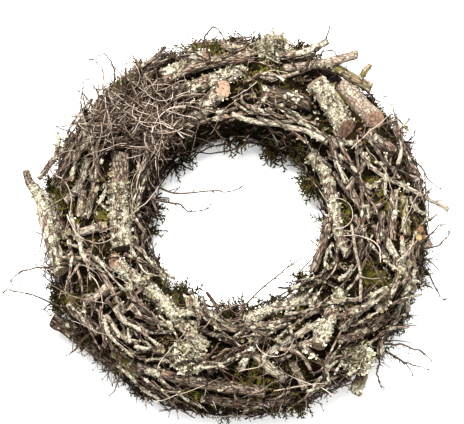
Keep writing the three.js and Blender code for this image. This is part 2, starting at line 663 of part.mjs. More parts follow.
// Sprays of fine twigs, each draped over everything laid before it.
const stemCutters = [];
SPRAYS.forEach((spray, index) => {
  const stem = layDown({ route: spray.stem, radii: [2, 2] }, laid, SETTLE.stem);
  const twigs = spray.twigs.map((twig) => {
    const root = nearestStation(stem, twig.route[0]);
    const route = [[root.x, root.y], ...twig.route.slice(1)];
    return layDown({ route, radii: twig.radii }, laid, SETTLE.twig, root.z);
  });
  [stem, ...twigs].forEach((limb) => laid.push(...limb.spheres));
  const rings = (limb) => Math.max(3, Math.round(limb.length / 13));
  const limbs = [stem, ...twigs];
  const whole = together(limbs.map((limb) => solidOf(limbSkin(limb, 3, rings(limb), 0, index))));
  addNode(spray.name, largestBody(cutBy(whole, [...cutters, ...mounds, ...stemCutters])), "twig");
  stemCutters.push(...limbs.map((limb) => solidOf(limbRoom(limb, 4, rings(limb)))));
});

// The moss mats, hollowed over the core and grooved by all that is pressed into them.
const coreClearance = solidOf(coreSkin(44, 10, GAP));
for (let m = 0; m < MOSS.mats; m++) {
  const seam = MOSS.seam / RING.radius;
  const from = (2 * Math.PI * m) / MOSS.mats + seam;
  const to = (2 * Math.PI * (m + 1)) / MOSS.mats - seam;
  const pad = solidOf(matSkin(from, to, 14, 16, m + 1)).subtract(coreClearance);
  addNode(`moss_mat_${m + 1}`, largestBody(cutBy(pad, [...cutters, ...mounds, ...stemCutters])), "moss");
}

addNode("brushwood_core", solidOf(coreSkin(44, 10)), "brushwood");

export default group;
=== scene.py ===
# A moss wreath lying on its back, dressed over its solids: barked and lichened branches, fine birch twigs,
# feathery moss, leafy lichen and woodland litter. Lengths in the tables are millimetres, and every mesh is
# put into metres as it is made.
import math

import bpy
import numpy as np
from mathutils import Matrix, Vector


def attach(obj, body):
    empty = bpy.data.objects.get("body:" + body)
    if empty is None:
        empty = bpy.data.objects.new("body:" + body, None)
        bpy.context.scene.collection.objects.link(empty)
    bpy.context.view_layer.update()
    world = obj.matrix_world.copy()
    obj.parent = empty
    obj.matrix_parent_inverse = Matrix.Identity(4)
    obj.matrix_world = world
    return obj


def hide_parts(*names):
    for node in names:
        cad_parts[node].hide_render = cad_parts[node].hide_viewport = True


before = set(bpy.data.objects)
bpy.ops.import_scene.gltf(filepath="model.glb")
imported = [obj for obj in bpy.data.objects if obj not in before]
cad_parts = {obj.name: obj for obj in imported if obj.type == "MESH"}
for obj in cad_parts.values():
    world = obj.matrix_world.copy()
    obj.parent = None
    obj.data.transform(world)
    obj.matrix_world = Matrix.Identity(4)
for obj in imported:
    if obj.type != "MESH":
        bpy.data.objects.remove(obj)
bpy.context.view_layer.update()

MM = 0.001
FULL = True

# How fine the bark is: faces round a limb and the length of each step along it, for branches and for
# sticks. Then the rings of points over a sawn end, as shares of its radius.
BARK_SIDES = 24 if FULL else 14
BARK_STEP = 1.9 if FULL else 3.5
STICK_SIDES = 9
STICK_STEP = 3.0
PITH = np.array([0.12, 0.4, 0.68, 0.9])

# How much there is of everything: lobes of lichen for each crusted point of bark, lobes in a tuft, steps
# round and over a mat's bed, shoots of moss on each mat, and the share that is made of all loose things.
FLAKES = 0.3 if FULL else 0.1
LOBES_IN_TUFT = 300 if FULL else 120
BED = (62, 44) if FULL else (40, 32)
SPRIGS_ON_MAT = 1150 if FULL else 500
SHARE = 1.0 if FULL else 0.5

# The ring, its core and its moss, as in the part's source. Plan places are measured from the photograph's
# middle, and every mesh is moved so that the middle of the whole spread, given first, is the origin. Then
# how much of the ring one mat takes, and how far under the ring's sides the mats reach.
MIDDLE = np.array([0.0, 3.2, 0.0])
RING = {"x": 8.0, "y": -6.0, "radius": 142.0}
CORE = {"half_width": 33.0, "top": 54.0, "foot": 17.0, "side": 13.2}
MOSS = {"half_width": 51.0, "top": 68.0, "side": 24.0, "lowest": 7.0, "mats": 5}
MAT_TURN = math.tau / MOSS["mats"]
LOWEST_ANGLE = math.pi * 0.09

# The core's body in steps round the ring and round its section, the gap that the mats keep from it, and the
# wire wound round them: its turns, points and radius, how far it sinks into the moss, its half width round
# the ring and its drop from the sides to the underside.
CORE_GRID = (120, 28)
BED_GAP = 0.6
BINDING = {"turns": 26, "points": 1400, "radius": 0.35, "sunk": 2.2, "half_width": 47.8, "drop": 23.2}

# How limbs are laid, also as in the source: room over the floor and over what is laid, each kind's press
# into the moss and steepest slope, the step between stations, the run that eases a twig off its stem, the
# share of that slope by which a tip falls beyond the ring, and how often dips are bridged. Then how many
# places are tested at once against all that is laid, and what height over the moss counts as lying on wood.
FLOOR_CLEARANCE = 4.0
LAID_CLEARANCE = 0.35
SETTLE = {"branch": (0.3, 0.25), "twig": (1.1, 0.35), "stem": (0.2, 0.5), "stick": (0.5, 0.3)}
STATION = 2.5
ROOT_RUN = 14.0
SPRING = 0.15
BRIDGING = 10
TESTED = 1500
ON_WOOD = 1.5

# No point of a piece is lower than the first of these, and no loose thing along the walls lower than the
# second.
LOWEST = 0.05
WALL_LOWEST = 2.0

# How far a limb's axis sways from its laid line, as a share of its radius. Then how far apart limbs, tubes
# and copies of small shapes lie in the space of their grain, so that no two are grained alike.
SWAY = 0.22
LIMB_SHIFT, TUBE_SHIFT, COPY_SHIFT = 211.0, 37.0, 23.0

# The short sticks: how many, how many of them are thick, how many are tried for each, and their radii,
# lengths and band across the ring. Their headings stray from the ring's own way, bend and wobble. Then
# their farthest place off the ring's middle line in half widths of the moss, the same by the brush, the
# share of a stick that may lie on a branch, and how high one may rise over the moss.
STICKS = 255
THICK_STICKS = STICKS // 4
STICK_TRIES = 14
STICK = {"thick": (1.8, 4.5), "thin": (0.9, 2.1), "length": (22, 82), "band": (-44, 54), "stray": 0.62,
         "bend": 0.32, "wobble": 0.1, "off": 1.24, "off_by_brush": 0.92, "on_wood": 0.17, "rise": 26}

# Where the brush makes the sticks keep in: between these in x, and above this in y.
BRUSH_SIDE = ((-170, -20), 62)

# Loose twigs: stations along each, how near and far from the ring's middle they may reach, and how far out
# the rim's own twigs may stand in y, so that the whole stays within its size. Then the two groups laid on
# top: how many, their lengths, the turn they lie about and how far from it, their band across the ring,
# their seed, the share of one that may lie on other wood, their radii, and how high they are lifted.
TWIG_STATIONS = 15
TWIG_REACH = (82, 204)
RIM_REACH = 207
BRUSH_TWIGS = {"count": 470, "lengths": (35, 100), "around": 2.46, "spread": 0.36, "band": (-40, 32),
               "seed": 24, "crossing": 0.8, "thick": (0.3, 0.85), "lift": 6}
TOP_TWIGS = {"count": 480, "lengths": (22, 80), "around": 0.0, "spread": math.pi, "band": (-42, 46),
             "seed": 25, "crossing": 0.6, "thick": (0.35, 0.85), "lift": 2}

# The studio is bright, so the colours, given as they look on a screen, are toned down by this share. Its
# sky and the glow of its floor are strengths. Each lamp has its place and size in metres and its power in
# watts, and shines on the last of these.
TONED = 0.735
SKY = 0.76
FLOOR_GLOW = 0.25
LAMPS = {"key": ((-0.18, 0.62, 1.75), 0.9, 75.0), "fill": ((0.9, -0.2, 1.6), 1.4, 6.0)}
LIT = Vector((0, 0, 0.05))

# The camera: what it looks at, its slope in degrees, its distance, and its lens over its sensor.
AIM = Vector((0.004, -0.0052, 0.075))
CAMERA_SLOPE = 79
CAMERA_DISTANCE = 1.6
LENS, SENSOR = 124.0, 36.0

# The thick branches in the order they are laid: name, look, plan route, radius at the ends, how far it is
# let down, forks.
BRANCHES = [
    ("dark_log_top_right", "dark", [(34, 123), (84, 110)], (9, 9), 0, []),
    ("low_branch_bottom", "dark", [(-26, -186), (20, -191), (64, -186)], (5, 5.5), 0, []),
    ("dark_log_lower_left", "dark", [(-178, -104), (-146, -127), (-112, -152)], (8, 7), 0, []),
    ("bark_strip_left", "bark", [(-179, 20), (-168, -22)], (5, 5.5), 0, []),
    ("lichened_branch_left_rim", "lichened", [(-208, 47), (-201, 31), (-190, 16), (-180, -20), (-165, -62)],
     (3.8, 8), 0, []),
    ("bare_stub_left", "bare", [(-147, 22), (-149, -6)], (4.5, 4.5), 0.9, []),
    ("tan_stub_right_rim", "bare", [(190, -16), (203, -34)], (5.5, 6.5), 0, []),
    ("grey_stub_right_rim", "bark", [(182, 71), (188, 40)], (4.5, 5), 0, []),
    ("lichened_log_top_left", "lichened", [(-67, 139), (-21, 163)], (8.5, 8.5), 0, []),
    ("brown_stub_top_left", "bark", [(-72, 118), (-40, 128)], (6.5, 6), 0, []),
    ("orange_stub_top", "bark", [(-9, 179), (18, 171)], (5.5, 6), 0, []),
    ("orange_stub_far_left", "bare", [(-120, 126), (-106, 113)], (5, 5.5), 0, []),
    ("lichened_branch_top", "lichened", [(14, 149), (-42, 120)], (7, 8.5), 0, []),
    ("bark_branch_top", "bark", [(27, 160), (-30, 148), (-75, 127)], (6, 4.5), 1.15, []),
    ("cut_stub_top_inside", "lichened", [(-36, 94), (-5, 123)], (7.5, 9), 0, []),
    ("big_log_upper_right", "lichened", [(88, 130), (120, 83)], (10.5, 11.5), 0, []),
    ("bare_log_upper_right", "bare", [(115, 135), (150, 96)], (9.5, 10.5), 0, []),
    ("cut_stub_right", "bark", [(141, 81), (166, 63)], (6, 7), 0, []),
    ("forked_branch_top_right", "mossy", [(108, 149), (147, 130)], (5, 5.5), 1.35,
     [([(134, 138), (146, 154)], (3.2, 3))]),
    ("level_branch_top_right", "bare", [(58, 149), (95, 151), (131, 158)], (4.5, 5), 2.2, []),
    ("lichened_branch_right_inside", "lichened", [(82, 62), (99, 44), (106, 14), (110, -14), (120, -45)],
     (7.5, 5), 0, []),
    ("thin_branch_right_inside", "bark", [(101, -6), (95, -32), (86, -60)], (5, 4.5), 1.2, []),
    ("bark_branch_right", "bark", [(167, 22), (164, -30)], (5, 4.5), 0, []),
    ("bark_branch_far_right", "mossy", [(178, 17), (180, -24)], (4.2, 4.2), 0, []),
    ("cut_log_left", "lichened", [(-109, 60), (-110, 12), (-106, -38)], (9.5, 11.5), 0, []),
    ("lichened_twig_left", "pale", [(-141, 54), (-151, 24), (-163, 10)], (4, 3), 1.2, []),
    ("cut_stub_left", "pale", [(-157, -24), (-125, -16)], (4.2, 5), 0, []),
    ("mossy_branch_lower_left", "mossy", [(-116, -139), (-86, -162)], (5, 6), 0, []),
    ("long_branch_lower_left", "lichened", [(-114, -52), (-70, -88), (-22, -139)], (7, 7.5), 0, []),
    ("brown_branch_bottom", "bark", [(-90, -157), (-30, -171), (36, -181)], (5.5, 6), 0, []),
    ("lichened_branch_inside_bottom", "lichened", [(13, -111), (52, -96), (92, -86)], (5, 5), 0, []),
    ("forked_branch_bottom", "pale", [(18, -139), (57, -169)], (4.5, 5), 0,
     [([(32, -150), (60, -130), (92, -112)], (4.2, 3.4))]),
    ("lichened_branch_lower_right", "lichened", [(113, -80), (88, -138)], (6.5, 7.5), 1.25, []),
    ("knotty_branch_lower_right", "bark", [(108, -130), (134, -121), (162, -103)], (5, 5), 0, []),
    ("green_branch_bottom_right", "mossy", [(141, -144), (129, -179)], (6, 5.5), 0, []),
    ("peeled_stub_bottom", "bare", [(63, -151), (76, -178)], (4, 4), 0, []),
    ("long_twig_right", "pale", [(132, 62), (148, 42), (185, 24), (224, 5)], (2.6, 2.2), 0,
     [([(160, 36), (141, 21)], (2.2, 1.8))]),
]

# The sprays of fine twigs: name, the stem's plan route, then each twig's plan route and its radius at root
# and tip.
SPRAYS = [
    ("spray_top_left", [(-140, 84), (-118, 112)], [
        ([(-139, 86), (-148, 100), (-150, 125), (-147, 146)], (1.3, 0.8)),
        ([(-126, 102), (-134, 126), (-147, 146)], (1.2, 0.8)),
        ([(-131, 96), (-145, 121), (-159, 134)], (1.2, 0.8)),
        ([(-121, 108), (-129, 130), (-131, 155), (-141, 164)], (1.2, 0.8)),
        ([(-119, 111), (-117, 146), (-121, 157), (-128, 166), (-137, 161)], (1.2, 0.8)),
        ([(-134, 92), (-152, 96), (-160, 92)], (1.3, 0.9)),
        ([(-138, 87), (-152, 76), (-163, 69)], (1.3, 0.9)),
    ]),
    ("spray_brush_left", [(-127, 52), (-104, 84)], [
        ([(-122, 60), (-116, 84), (-108, 104), (-90, 126)], (1.7, 1.1)),
        ([(-126, 54), (-128, 76), (-131, 104)], (1.6, 1)),
        ([(-110, 76), (-92, 92), (-78, 110)], (1.6, 1)),
        ([(-106, 82), (-100, 110), (-104, 128)], (1.5, 1)),
        ([(-114, 70), (-97, 84), (-70, 90), (-56, 104)], (1.6, 1.1)),
        ([(-118, 66), (-134, 84), (-140, 98)], (1.4, 1)),
        ([(-124, 58), (-146, 66), (-158, 78)], (1.5, 1)),
        ([(-108, 78), (-88, 82), (-72, 76)], (1.5, 1)),
        ([(-112, 73), (-120, 96), (-117, 118)], (1.5, 1)),
    ]),
    ("spray_brush_top_left", [(-84, 92), (-58, 108)], [
        ([(-80, 94), (-62, 84), (-38, 92), (-20, 88)], (1.6, 1.1)),
        ([(-64, 104), (-53, 118), (-44, 131)], (1.6, 1.1)),
        ([(-82, 93), (-98, 106), (-118, 114)], (1.5, 1)),
        ([(-60, 107), (-43, 113), (-22, 92), (-4, 70)], (1.7, 1.1)),
        ([(-70, 101), (-78, 118), (-88, 138)], (1.5, 1)),
        ([(-76, 97), (-72, 80), (-62, 66), (-40, 62)], (1.5, 1)),
        ([(-66, 103), (-86, 114), (-108, 118)], (1.5, 1)),
        ([(-62, 106), (-34, 100), (-14, 104)], (1.4, 1)),
    ]),
    ("spray_top", [(-22, 150), (4, 158)], [
        ([(-18, 152), (-24, 176), (-19, 187), (-12, 188), (-4, 178), (6, 164)], (1.3, 0.9)),
        ([(-20, 151), (-38, 164), (-53, 176)], (1.3, 0.8)),
        ([(0, 157), (14, 176), (10, 184)], (1.2, 0.9)),
        ([(2, 158), (24, 172), (32, 182)], (1.2, 0.9)),
        ([(-14, 153), (-40, 158), (-66, 162)], (1.3, 0.9)),
    ]),
    ("spray_top_long_twig", [(26, 112), (34, 92)], [
        ([(31, 106), (22, 138), (10, 147)], (1.8, 1.2)),
        ([(34, 94), (46, 88), (66, 72)], (1.8, 1.2)),
        ([(33, 97), (22, 84), (12, 69), (-14, 64), (-34, 66)], (1.5, 0.9)),
        ([(31, 106), (52, 112), (70, 120)], (1.4, 1)),
        ([(28, 110), (4, 96), (-12, 80)], (1.4, 1)),
    ]),
    ("spray_top_right", [(66, 136), (84, 142)], [
        ([(80, 140), (84, 158), (96, 169), (102, 184), (103, 194), (108, 203)], (1.3, 0.8)),
        ([(76, 139), (84, 157), (91, 170)], (1.2, 0.8)),
        ([(82, 141), (94, 160), (104, 163), (112, 156)], (1.2, 0.9)),
        ([(70, 137), (66, 158), (74, 168)], (1.2, 0.9)),
        ([(72, 138), (58, 164), (56, 176)], (1.2, 0.9)),
    ]),
    ("spray_right_upper", [(170, 62), (178, 40)], [
        ([(172, 58), (190, 52), (205, 33), (218, 22)], (1.3, 0.8)),
        ([(176, 46), (196, 36), (203, 22)], (1.2, 0.8)),
        ([(170, 61), (184, 74), (196, 92)], (1.2, 0.8)),
        ([(177, 42), (160, 34), (148, 14), (150, -8)], (1.7, 1.1)),
        ([(171, 60), (150, 64), (122, 66), (100, 68)], (1.8, 1.2)),
    ]),
    ("spray_right_lower", [(184, -38), (178, -60)], [
        ([(183, -42), (200, -28), (212, -14), (224, -10)], (1.3, 0.8)),
        ([(183, -41), (208, -34), (219, -26), (227, -12)], (1.2, 0.8)),
        ([(181, -48), (200, -58), (211, -80), (218, -89)], (1.3, 0.8)),
        ([(182, -45), (200, -46), (213, -57)], (1.2, 0.8)),
        ([(179, -56), (196, -70), (207, -76)], (1.2, 0.8)),
        ([(179, -57), (168, -66), (154, -78)], (2.2, 1.6)),
        ([(182, -46), (156, -46), (142, -60)], (1.4, 1)),
    ]),
    ("spray_bottom_right", [(150, -128), (162, -140)], [
        ([(160, -138), (180, -148), (192, -152), (204, -155)], (1.2, 0.8)),
        ([(161, -139), (178, -149), (188, -161)], (1.2, 0.8)),
        ([(154, -132), (176, -132), (196, -139), (208, -148)], (1.3, 0.9)),
        ([(156, -134), (150, -160), (156, -178)], (1.3, 0.9)),
        ([(152, -130), (172, -116), (190, -110)], (1.3, 0.9)),
        ([(151, -129), (138, -112), (128, -90), (128, -66)], (1.8, 1.2)),
    ]),
    ("spray_bottom", [(-30, -150), (-8, -156)], [
        ([(-28, -151), (-50, -154), (-66, -148), (-80, -140)], (1.8, 1.2)),
        ([(-12, -155), (8, -150), (24, -140)], (1.7, 1.1)),
        ([(-24, -152), (-10, -134), (0, -122)], (1.6, 1.1)),
        ([(-28, -151), (-44, -172), (-54, -188)], (1.6, 1)),
        ([(-18, -154), (-22, -176), (-14, -192)], (1.4, 1)),
        ([(-10, -156), (16, -164), (32, -160)], (1.4, 1)),
        ([(-14, -155), (2, -172), (8, -190)], (1.4, 1)),
    ]),
    ("spray_lower_left", [(-134, -100), (-116, -118)], [
        ([(-132, -102), (-158, -98), (-188, -86), (-208, -80), (-222, -77), (-227, -81)], (1.3, 0.8)),
        ([(-132, -102), (-172, -93), (-183, -98), (-176, -106)], (1.2, 0.9)),
        ([(-118, -116), (-102, -128), (-86, -143)], (1.6, 1.1)),
        ([(-117, -117), (-126, -138), (-126, -156)], (1.6, 1.1)),
        ([(-122, -112), (-142, -128), (-154, -142), (-162, -146)], (1.3, 0.9)),
        ([(-118, -116), (-98, -112), (-82, -98)], (1.5, 1)),
        ([(-120, -114), (-106, -148), (-112, -176), (-118, -186)], (1.5, 0.9)),
    ]),
    ("spray_left", [(-138, -48), (-122, -64)], [
        ([(-136, -50), (-176, -57), (-198, -59), (-213, -66), (-215, -74)], (1.3, 0.8)),
        ([(-130, -56), (-112, -48), (-96, -54)], (2, 1.3)),
        ([(-128, -58), (-118, -80), (-100, -100)], (1.6, 1.1)),
        ([(-135, -51), (-150, -36), (-164, -12), (-182, 24)], (1.6, 1)),
        ([(-133, -53), (-150, -72), (-168, -76)], (1.3, 0.9)),
        ([(-134, -52), (-124, -30), (-142, 16)], (1.6, 1.1)),
    ]),
    ("spray_hole_left", [(-96, 30), (-90, 8)], [
        ([(-94, 22), (-72, 16), (-49, 12), (-37, 5), (-16, 8)], (1.5, 0.8)),
        ([(-94, 22), (-76, 30), (-52, 24), (-12, 28), (1, 26), (20, 34)], (1.4, 0.8)),
        ([(-95, 26), (-84, 40), (-68, 44)], (1.3, 0.9)),
        ([(-91, 12), (-76, 2), (-70, -4)], (1.3, 0.9)),
    ]),
    ("spray_hole_bottom", [(0, -122), (22, -118)], [
        ([(16, -119), (13, -100), (31, -78), (58, -57), (69, -48), (80, -42)], (1.3, 0.8)),
        ([(15, -119), (15, -96), (15, -80)], (1.5, 1.1)),
        ([(4, -121), (-12, -108), (-28, -92), (-27, -82)], (1.3, 0.9)),
        ([(2, -122), (-16, -112), (-24, -98)], (1.3, 0.9)),
    ]),
]

# The tufts of leafy lichen: name, plan place, spread and height. Then those with moss growing through them.
TUFTS = [
    ("lichen_tuft_bottom", (-40, -148), 17, 15),
    ("lichen_tuft_lower_right", (128, -146), 17, 14),
    ("lichen_tuft_top", (48, 172), 14, 17),
]
MOSSY_TUFTS = ["lichen_tuft_top"]

# Plan places with their reach. The brush is where the finest twigs are thickest.
BRUSH = (-92, 82, 50)

# Where green moss shows most.
GREEN_PATCHES = [
    (-16, 172, 16), (-103, 125, 16), (62, 140, 14), (33, 140, 18), (107, 115, 16), (97, 125, 12),
    (-168, 20, 18), (-143, 0, 18), (-128, -5, 14), (147, 20, 16), (127, 0, 20), (157, 10, 16),
    (-178, -5, 14), (-158, -90, 22), (22, -165, 16), (97, -20, 20), (38, 80, 16), (70, 62, 16),
    (92, 30, 16), (-130, -160, 22), (-92, -20, 14), (-60, -100, 16), (60, -100, 16), (150, -70, 22),
    (-100, 95, 14),
]

# Where loose lichen gathers, and more of the sticks are lichened or pale.
PALE_PATCHES = [
    (-42, -139, 22), (-5, -121, 12), (27, -130, 10), (130, -144, 22), (-39, 68, 12), (46, 79, 12),
    (49, 176, 16), (92, -64, 20), (118, -100, 20), (-110, 10, 26), (0, 178, 20), (96, 158, 18),
    (-44, -108, 20), (192, -8, 14), (-30, 172, 18), (84, 38, 14), (-44, 60, 14), (-170, -30, 20),
    (100, 108, 20), (-45, 150, 24), (60, 60, 14), (-75, -70, 22), (150, -100, 18), (-150, 60, 16),
    (170, -60, 16), (80, -150, 16), (-10, 150, 18),
]

# Where hardly a stick or twig hides the branches.
OPEN_PATCHES = [
    (-50, 148, 24), (-24, 160, 18), (-6, 121, 15), (-109, 42, 20), (98, 112, 26), (128, 120, 24),
    (160, 70, 14), (-125, -16, 9), (-114, -52, 9),
]

# The curled leaf at the right rim, on top of everything, and where other dry scraps lie.
DRY_LEAF = [(193, -22, 6)]
DRY_PATCHES = [
    (192, -22, 15), (-14, 176, 14), (-60, -118, 16), (-112, -150, 18), (30, -128, 16), (150, -112, 16),
]

# The run of some limbs, from their first end, that has lost its lichen, and what says that a limb has lost
# none.
BARE_RUNS = {"cut_log_left": 34.0, "lichened_branch_left_rim": 40.0}
NOT_BARE = -20.0

# The cut ends that show their wood: the end (0 first, 1 last), and how far it has gone from orange to
# red-brown. Then what says that both ends of a limb are weathered.
FRESH_ENDS = {
    "lichened_log_top_left": (1, 0.15), "cut_stub_top_inside": (1, 0.05), "orange_stub_top": (1, 0.2),
    "orange_stub_far_left": (1, 0.3), "bare_log_upper_right": (1, 0.85), "big_log_upper_right": (1, 0.75),
    "cut_stub_right": (1, 0.45), "cut_stub_left": (1, 0.15), "long_branch_lower_left": (0, 0.35),
}
NOT_FRESH = (None, 0.5)


# Placing the limbs, by the same rule as the part's source.


def route_points(route, t):
    """Places on a route: a Catmull-Rom curve through its points, with t from 0 to 1 shared evenly by its
    spans."""
    route = np.asarray(route, float)
    spans = len(route) - 1
    held = np.vstack([2 * route[0] - route[1], route, 2 * route[-1] - route[-2]])
    along = np.clip(np.asarray(t, float), 0, 1) * spans
    span = np.minimum(np.floor(along).astype(int), spans - 1)
    f = (along - span)[:, None]
    before, start, end, after = (held[span + k] for k in range(4))
    leave, arrive = 0.5 * (end - before), 0.5 * (after - start)
    square = -3 * start + 3 * end - 2 * leave - arrive
    cube = 2 * start - 2 * end + leave + arrive
    return start + leave * f + square * f**2 + cube * f**3


def off_middle(x, y):
    """How far a plan place is from the ring's middle line, in half widths of the moss."""
    return np.abs(np.hypot(x - RING["x"], y - RING["y"]) - RING["radius"]) / MOSS["half_width"]


def moss_top(x, y):
    """The height of the moss's nominal surface over a plan place; beyond its sides it falls away."""
    off = off_middle(x, y)
    dome = MOSS["side"] + (MOSS["top"] - MOSS["side"]) * np.sqrt(np.clip(1 - off**2, 0, 1))
    return np.where(off < 1, dome, MOSS["side"] - (off - 1) * MOSS["half_width"])


def resting_heights(places, radii, press, laid):
    """The lowest height of an axis at each place: clear of the floor, the moss and every ball laid
    there."""
    x, y = places.T
    heights = np.maximum(radii + FLOOR_CLEARANCE, moss_top(x, y) + press * radii)
    if len(laid) == 0:
        return heights
    balls = np.asarray(laid)
    tops = []
    for start in range(0, len(places), TESTED):
        part = slice(start, start + TESTED)
        reach = radii[part, None] + balls[:, 3] + LAID_CLEARANCE
        square = reach**2 - (x[part, None] - balls[:, 0]) ** 2 - (y[part, None] - balls[:, 1]) ** 2
        tops.append(np.where(square > 0, balls[:, 2] + np.sqrt(np.maximum(square, 0)), -np.inf).max(axis=1))
    return np.maximum(heights, np.concatenate(tops))


def over_wood(floors, places, radii, press):
    """The share of each limb's stations that lie on something laid before, not on the moss."""
    bare = np.maximum(radii + FLOOR_CLEARANCE, moss_top(places[..., 0], places[..., 1]) + press * radii)
    return (floors - bare > ON_WOOD).mean(axis=-1)


def rigid_heights(floors, rise):
    """The lowest straight line that clears every floor within the slope limit."""
    t = np.linspace(-0.5, 0.5, len(floors))
    tilts = rise * np.arange(-20, 21) / 20
    middles = (floors - tilts[:, None] * t).max(axis=1)
    best = int(np.argmin(middles))
    return middles[best] + tilts[best] * t


def falls_along(places, fall):
    """The most that supple twigs may have dropped by each station; beyond the ring's sides they spring."""
    beyond = off_middle(places[..., 1:, 0], places[..., 1:, 1]) > 1
    steps = np.asarray(fall, float)[..., None] * np.where(beyond, SPRING, 1.0)
    return np.concatenate([np.zeros((*steps.shape[:-1], 1)), steps.cumsum(axis=-1)], axis=-1)


def draped_heights(floors, falls):
    """Heights of supple twigs, the last axis running along each: over their floors, and bridging the
    dips."""
    heights = (floors[..., None, :] - np.abs(falls[..., :, None] - falls[..., None, :])).max(axis=-1)
    for _ in range(BRIDGING):
        left = np.concatenate([heights[..., :1], heights[..., :-1]], axis=-1)
        right = np.concatenate([heights[..., 1:], heights[..., -1:]], axis=-1)
        heights = np.maximum(heights, (left + right) / 2)
    return heights


def lay_down(route, radii, settle, laid, lower=0.0, root=None):
    """Lays one limb: its plan route is kept, and its heights clear all that lies below."""
    press, slope = SETTLE[settle]
    length = float(np.hypot(*np.diff(np.asarray(route, float), axis=0).T).sum())
    steps = max(4, math.ceil(length / STATION))
    t = np.linspace(0, 1, steps + 1)
    places = route_points(route, t)
    radius = radii[0] + (radii[1] - radii[0]) * t
    floors = resting_heights(places, radius, press, laid)
    if root is None:
        heights = rigid_heights(floors, slope * length) - lower
    else:
        floors[0] = max(root, floors[0])
        eased = np.minimum(1, t * length / ROOT_RUN)
        draped = draped_heights(floors, falls_along(places, slope * length / steps))
        heights = root + (draped - root) * eased**2 * (3 - 2 * eased)
    balls = np.column_stack([places, heights, radius])
    return {"route": route, "radii": radii, "length": length, "heights": heights, "balls": balls}


def axis_points(limb, count):
    """Points on a limb's axis at equal steps, from root to tip."""
    t = np.linspace(0, 1, count)
    steps = np.linspace(0, 1, len(limb["heights"]))
    return np.column_stack([route_points(limb["route"], t), np.interp(t, steps, limb["heights"])])


def nearest_ball(limb, place):
    """The ball of a limb that is nearest to a plan place."""
    return limb["balls"][np.argmin(np.hypot(*(limb["balls"][:, :2] - np.asarray(place)).T))]


# Numbers and vectors.


def unit(v):
    """The same directions, each 1 long."""
    return v / np.maximum(np.linalg.norm(v, axis=-1, keepdims=True), 1e-9)


def across_to(v, along):
    """The part of v that is square to a direction, as a unit vector."""
    return unit(v - (v * along).sum(-1, keepdims=True) * along)


def hashed(cells, seed):
    """A draw between 0 and 1 for each whole-number cell."""
    x, y, z = (cells[..., k].astype(np.int64) for k in range(3))
    mixed = ((x * 73856093) ^ (y * 19349663) ^ (z * 83492791) ^ (seed * 2654435761)) & 0xFFFFFFFF
    mixed = ((mixed ^ (mixed >> 13)) * 1274126177) & 0xFFFFFFFF
    mixed = ((mixed ^ (mixed >> 16)) * 2246822519) & 0xFFFFFFFF
    return (mixed ^ (mixed >> 15)) / 4294967296.0


def value_noise(points, size, seed):
    """Smooth noise from 0 to 1: hashed draws at the corners of a lattice of the given size, and blends of
    them."""
    scaled = np.asarray(points, float) / size
    cell = np.floor(scaled)
    f = scaled - cell
    f = f * f * (3 - 2 * f)
    total = 0.0
    for corner in np.ndindex(2, 2, 2):
        weight = np.ones(f.shape[:-1])
        for k in range(3):
            weight = weight * (f[..., k] if corner[k] else 1 - f[..., k])
        total = total + weight * hashed(cell + np.array(corner), seed)
    return total


def step_up(value, low, high):
    """0 below low, 1 above high, eased between them."""
    t = np.clip((value - low) / (high - low), 0, 1)
    return t * t * (3 - 2 * t)


def frames_from(direction, normal):
    """Right-handed frames whose first axis is the direction and whose third leans to the normal."""
    x = unit(direction)
    z = across_to(normal, x)
    return np.stack([x, np.cross(z, x), z], axis=-1)


def patchy(points, patches):
    """How strongly a place belongs to a list of plan patches: 1 at a patch's middle, 0 outside them all."""
    places = np.array(patches, float)
    apart = np.hypot(points[:, None, 0] - places[:, 0], points[:, None, 1] - places[:, 1])
    return np.clip(1.3 - apart / places[:, 2], 0, 1).max(axis=1)


def pick(draw, weight, count):
    """Numbers of the rows drawn by weight."""
    return draw.choice(len(weight), count, p=weight / weight.sum())


# The ring's own surface: turn goes round the ring, and angle over its section from outer side to inner
# side.


def on_ring(turn, radius, height=None):
    """A place at a turn round the ring and a distance from its middle: a plan place where no height is
    given."""
    place = [RING["x"] + radius * np.cos(turn), RING["y"] + radius * np.sin(turn)]
    return np.stack(place if height is None else [*place, height], axis=-1)


def seat(turn, angle, rise=0.0):
    """A place on the moss: offset = (half width + rise) · cos angle, height = side + (top − side + rise) ·
    sin angle, and under the sides the height falls straight to the lowest."""
    s = np.sin(angle)
    radius = RING["radius"] + (MOSS["half_width"] + rise) * np.cos(angle)
    above = MOSS["side"] + (MOSS["top"] - MOSS["side"] + rise) * s
    below = MOSS["side"] + (MOSS["side"] - MOSS["lowest"]) * s / math.sin(LOWEST_ANGLE)
    return on_ring(turn, radius, np.where(s < 0, below, above))


def outward(turn, angle):
    """The way out of the moss at a place on it."""
    return np.stack([np.cos(angle) * np.cos(turn), np.cos(angle) * np.sin(turn), np.sin(angle)], axis=-1)


def round_ring(turn):
    """The way along the ring at a turn."""
    return np.stack([-np.sin(turn), np.cos(turn), np.zeros_like(turn)], axis=-1)


# Shells: the raw arrays that a piece's mesh is put together from.


def shell(points, faces, grain, tint=0.5, reach=0.5, crust=0.0, smooth=True):
    """Points, faces as pairs of corners and material number, each point's place in the grain of its
    material, and its tint, its reach from root to tip and its crust."""
    count = len(points)
    values = {k: np.broadcast_to(np.asarray(v, float), (count,)) for k, v in
              (("tint", tint), ("reach", reach), ("crust", crust))}
    return {"points": points, "faces": faces, "grain": grain, "smooth": smooth, **values}


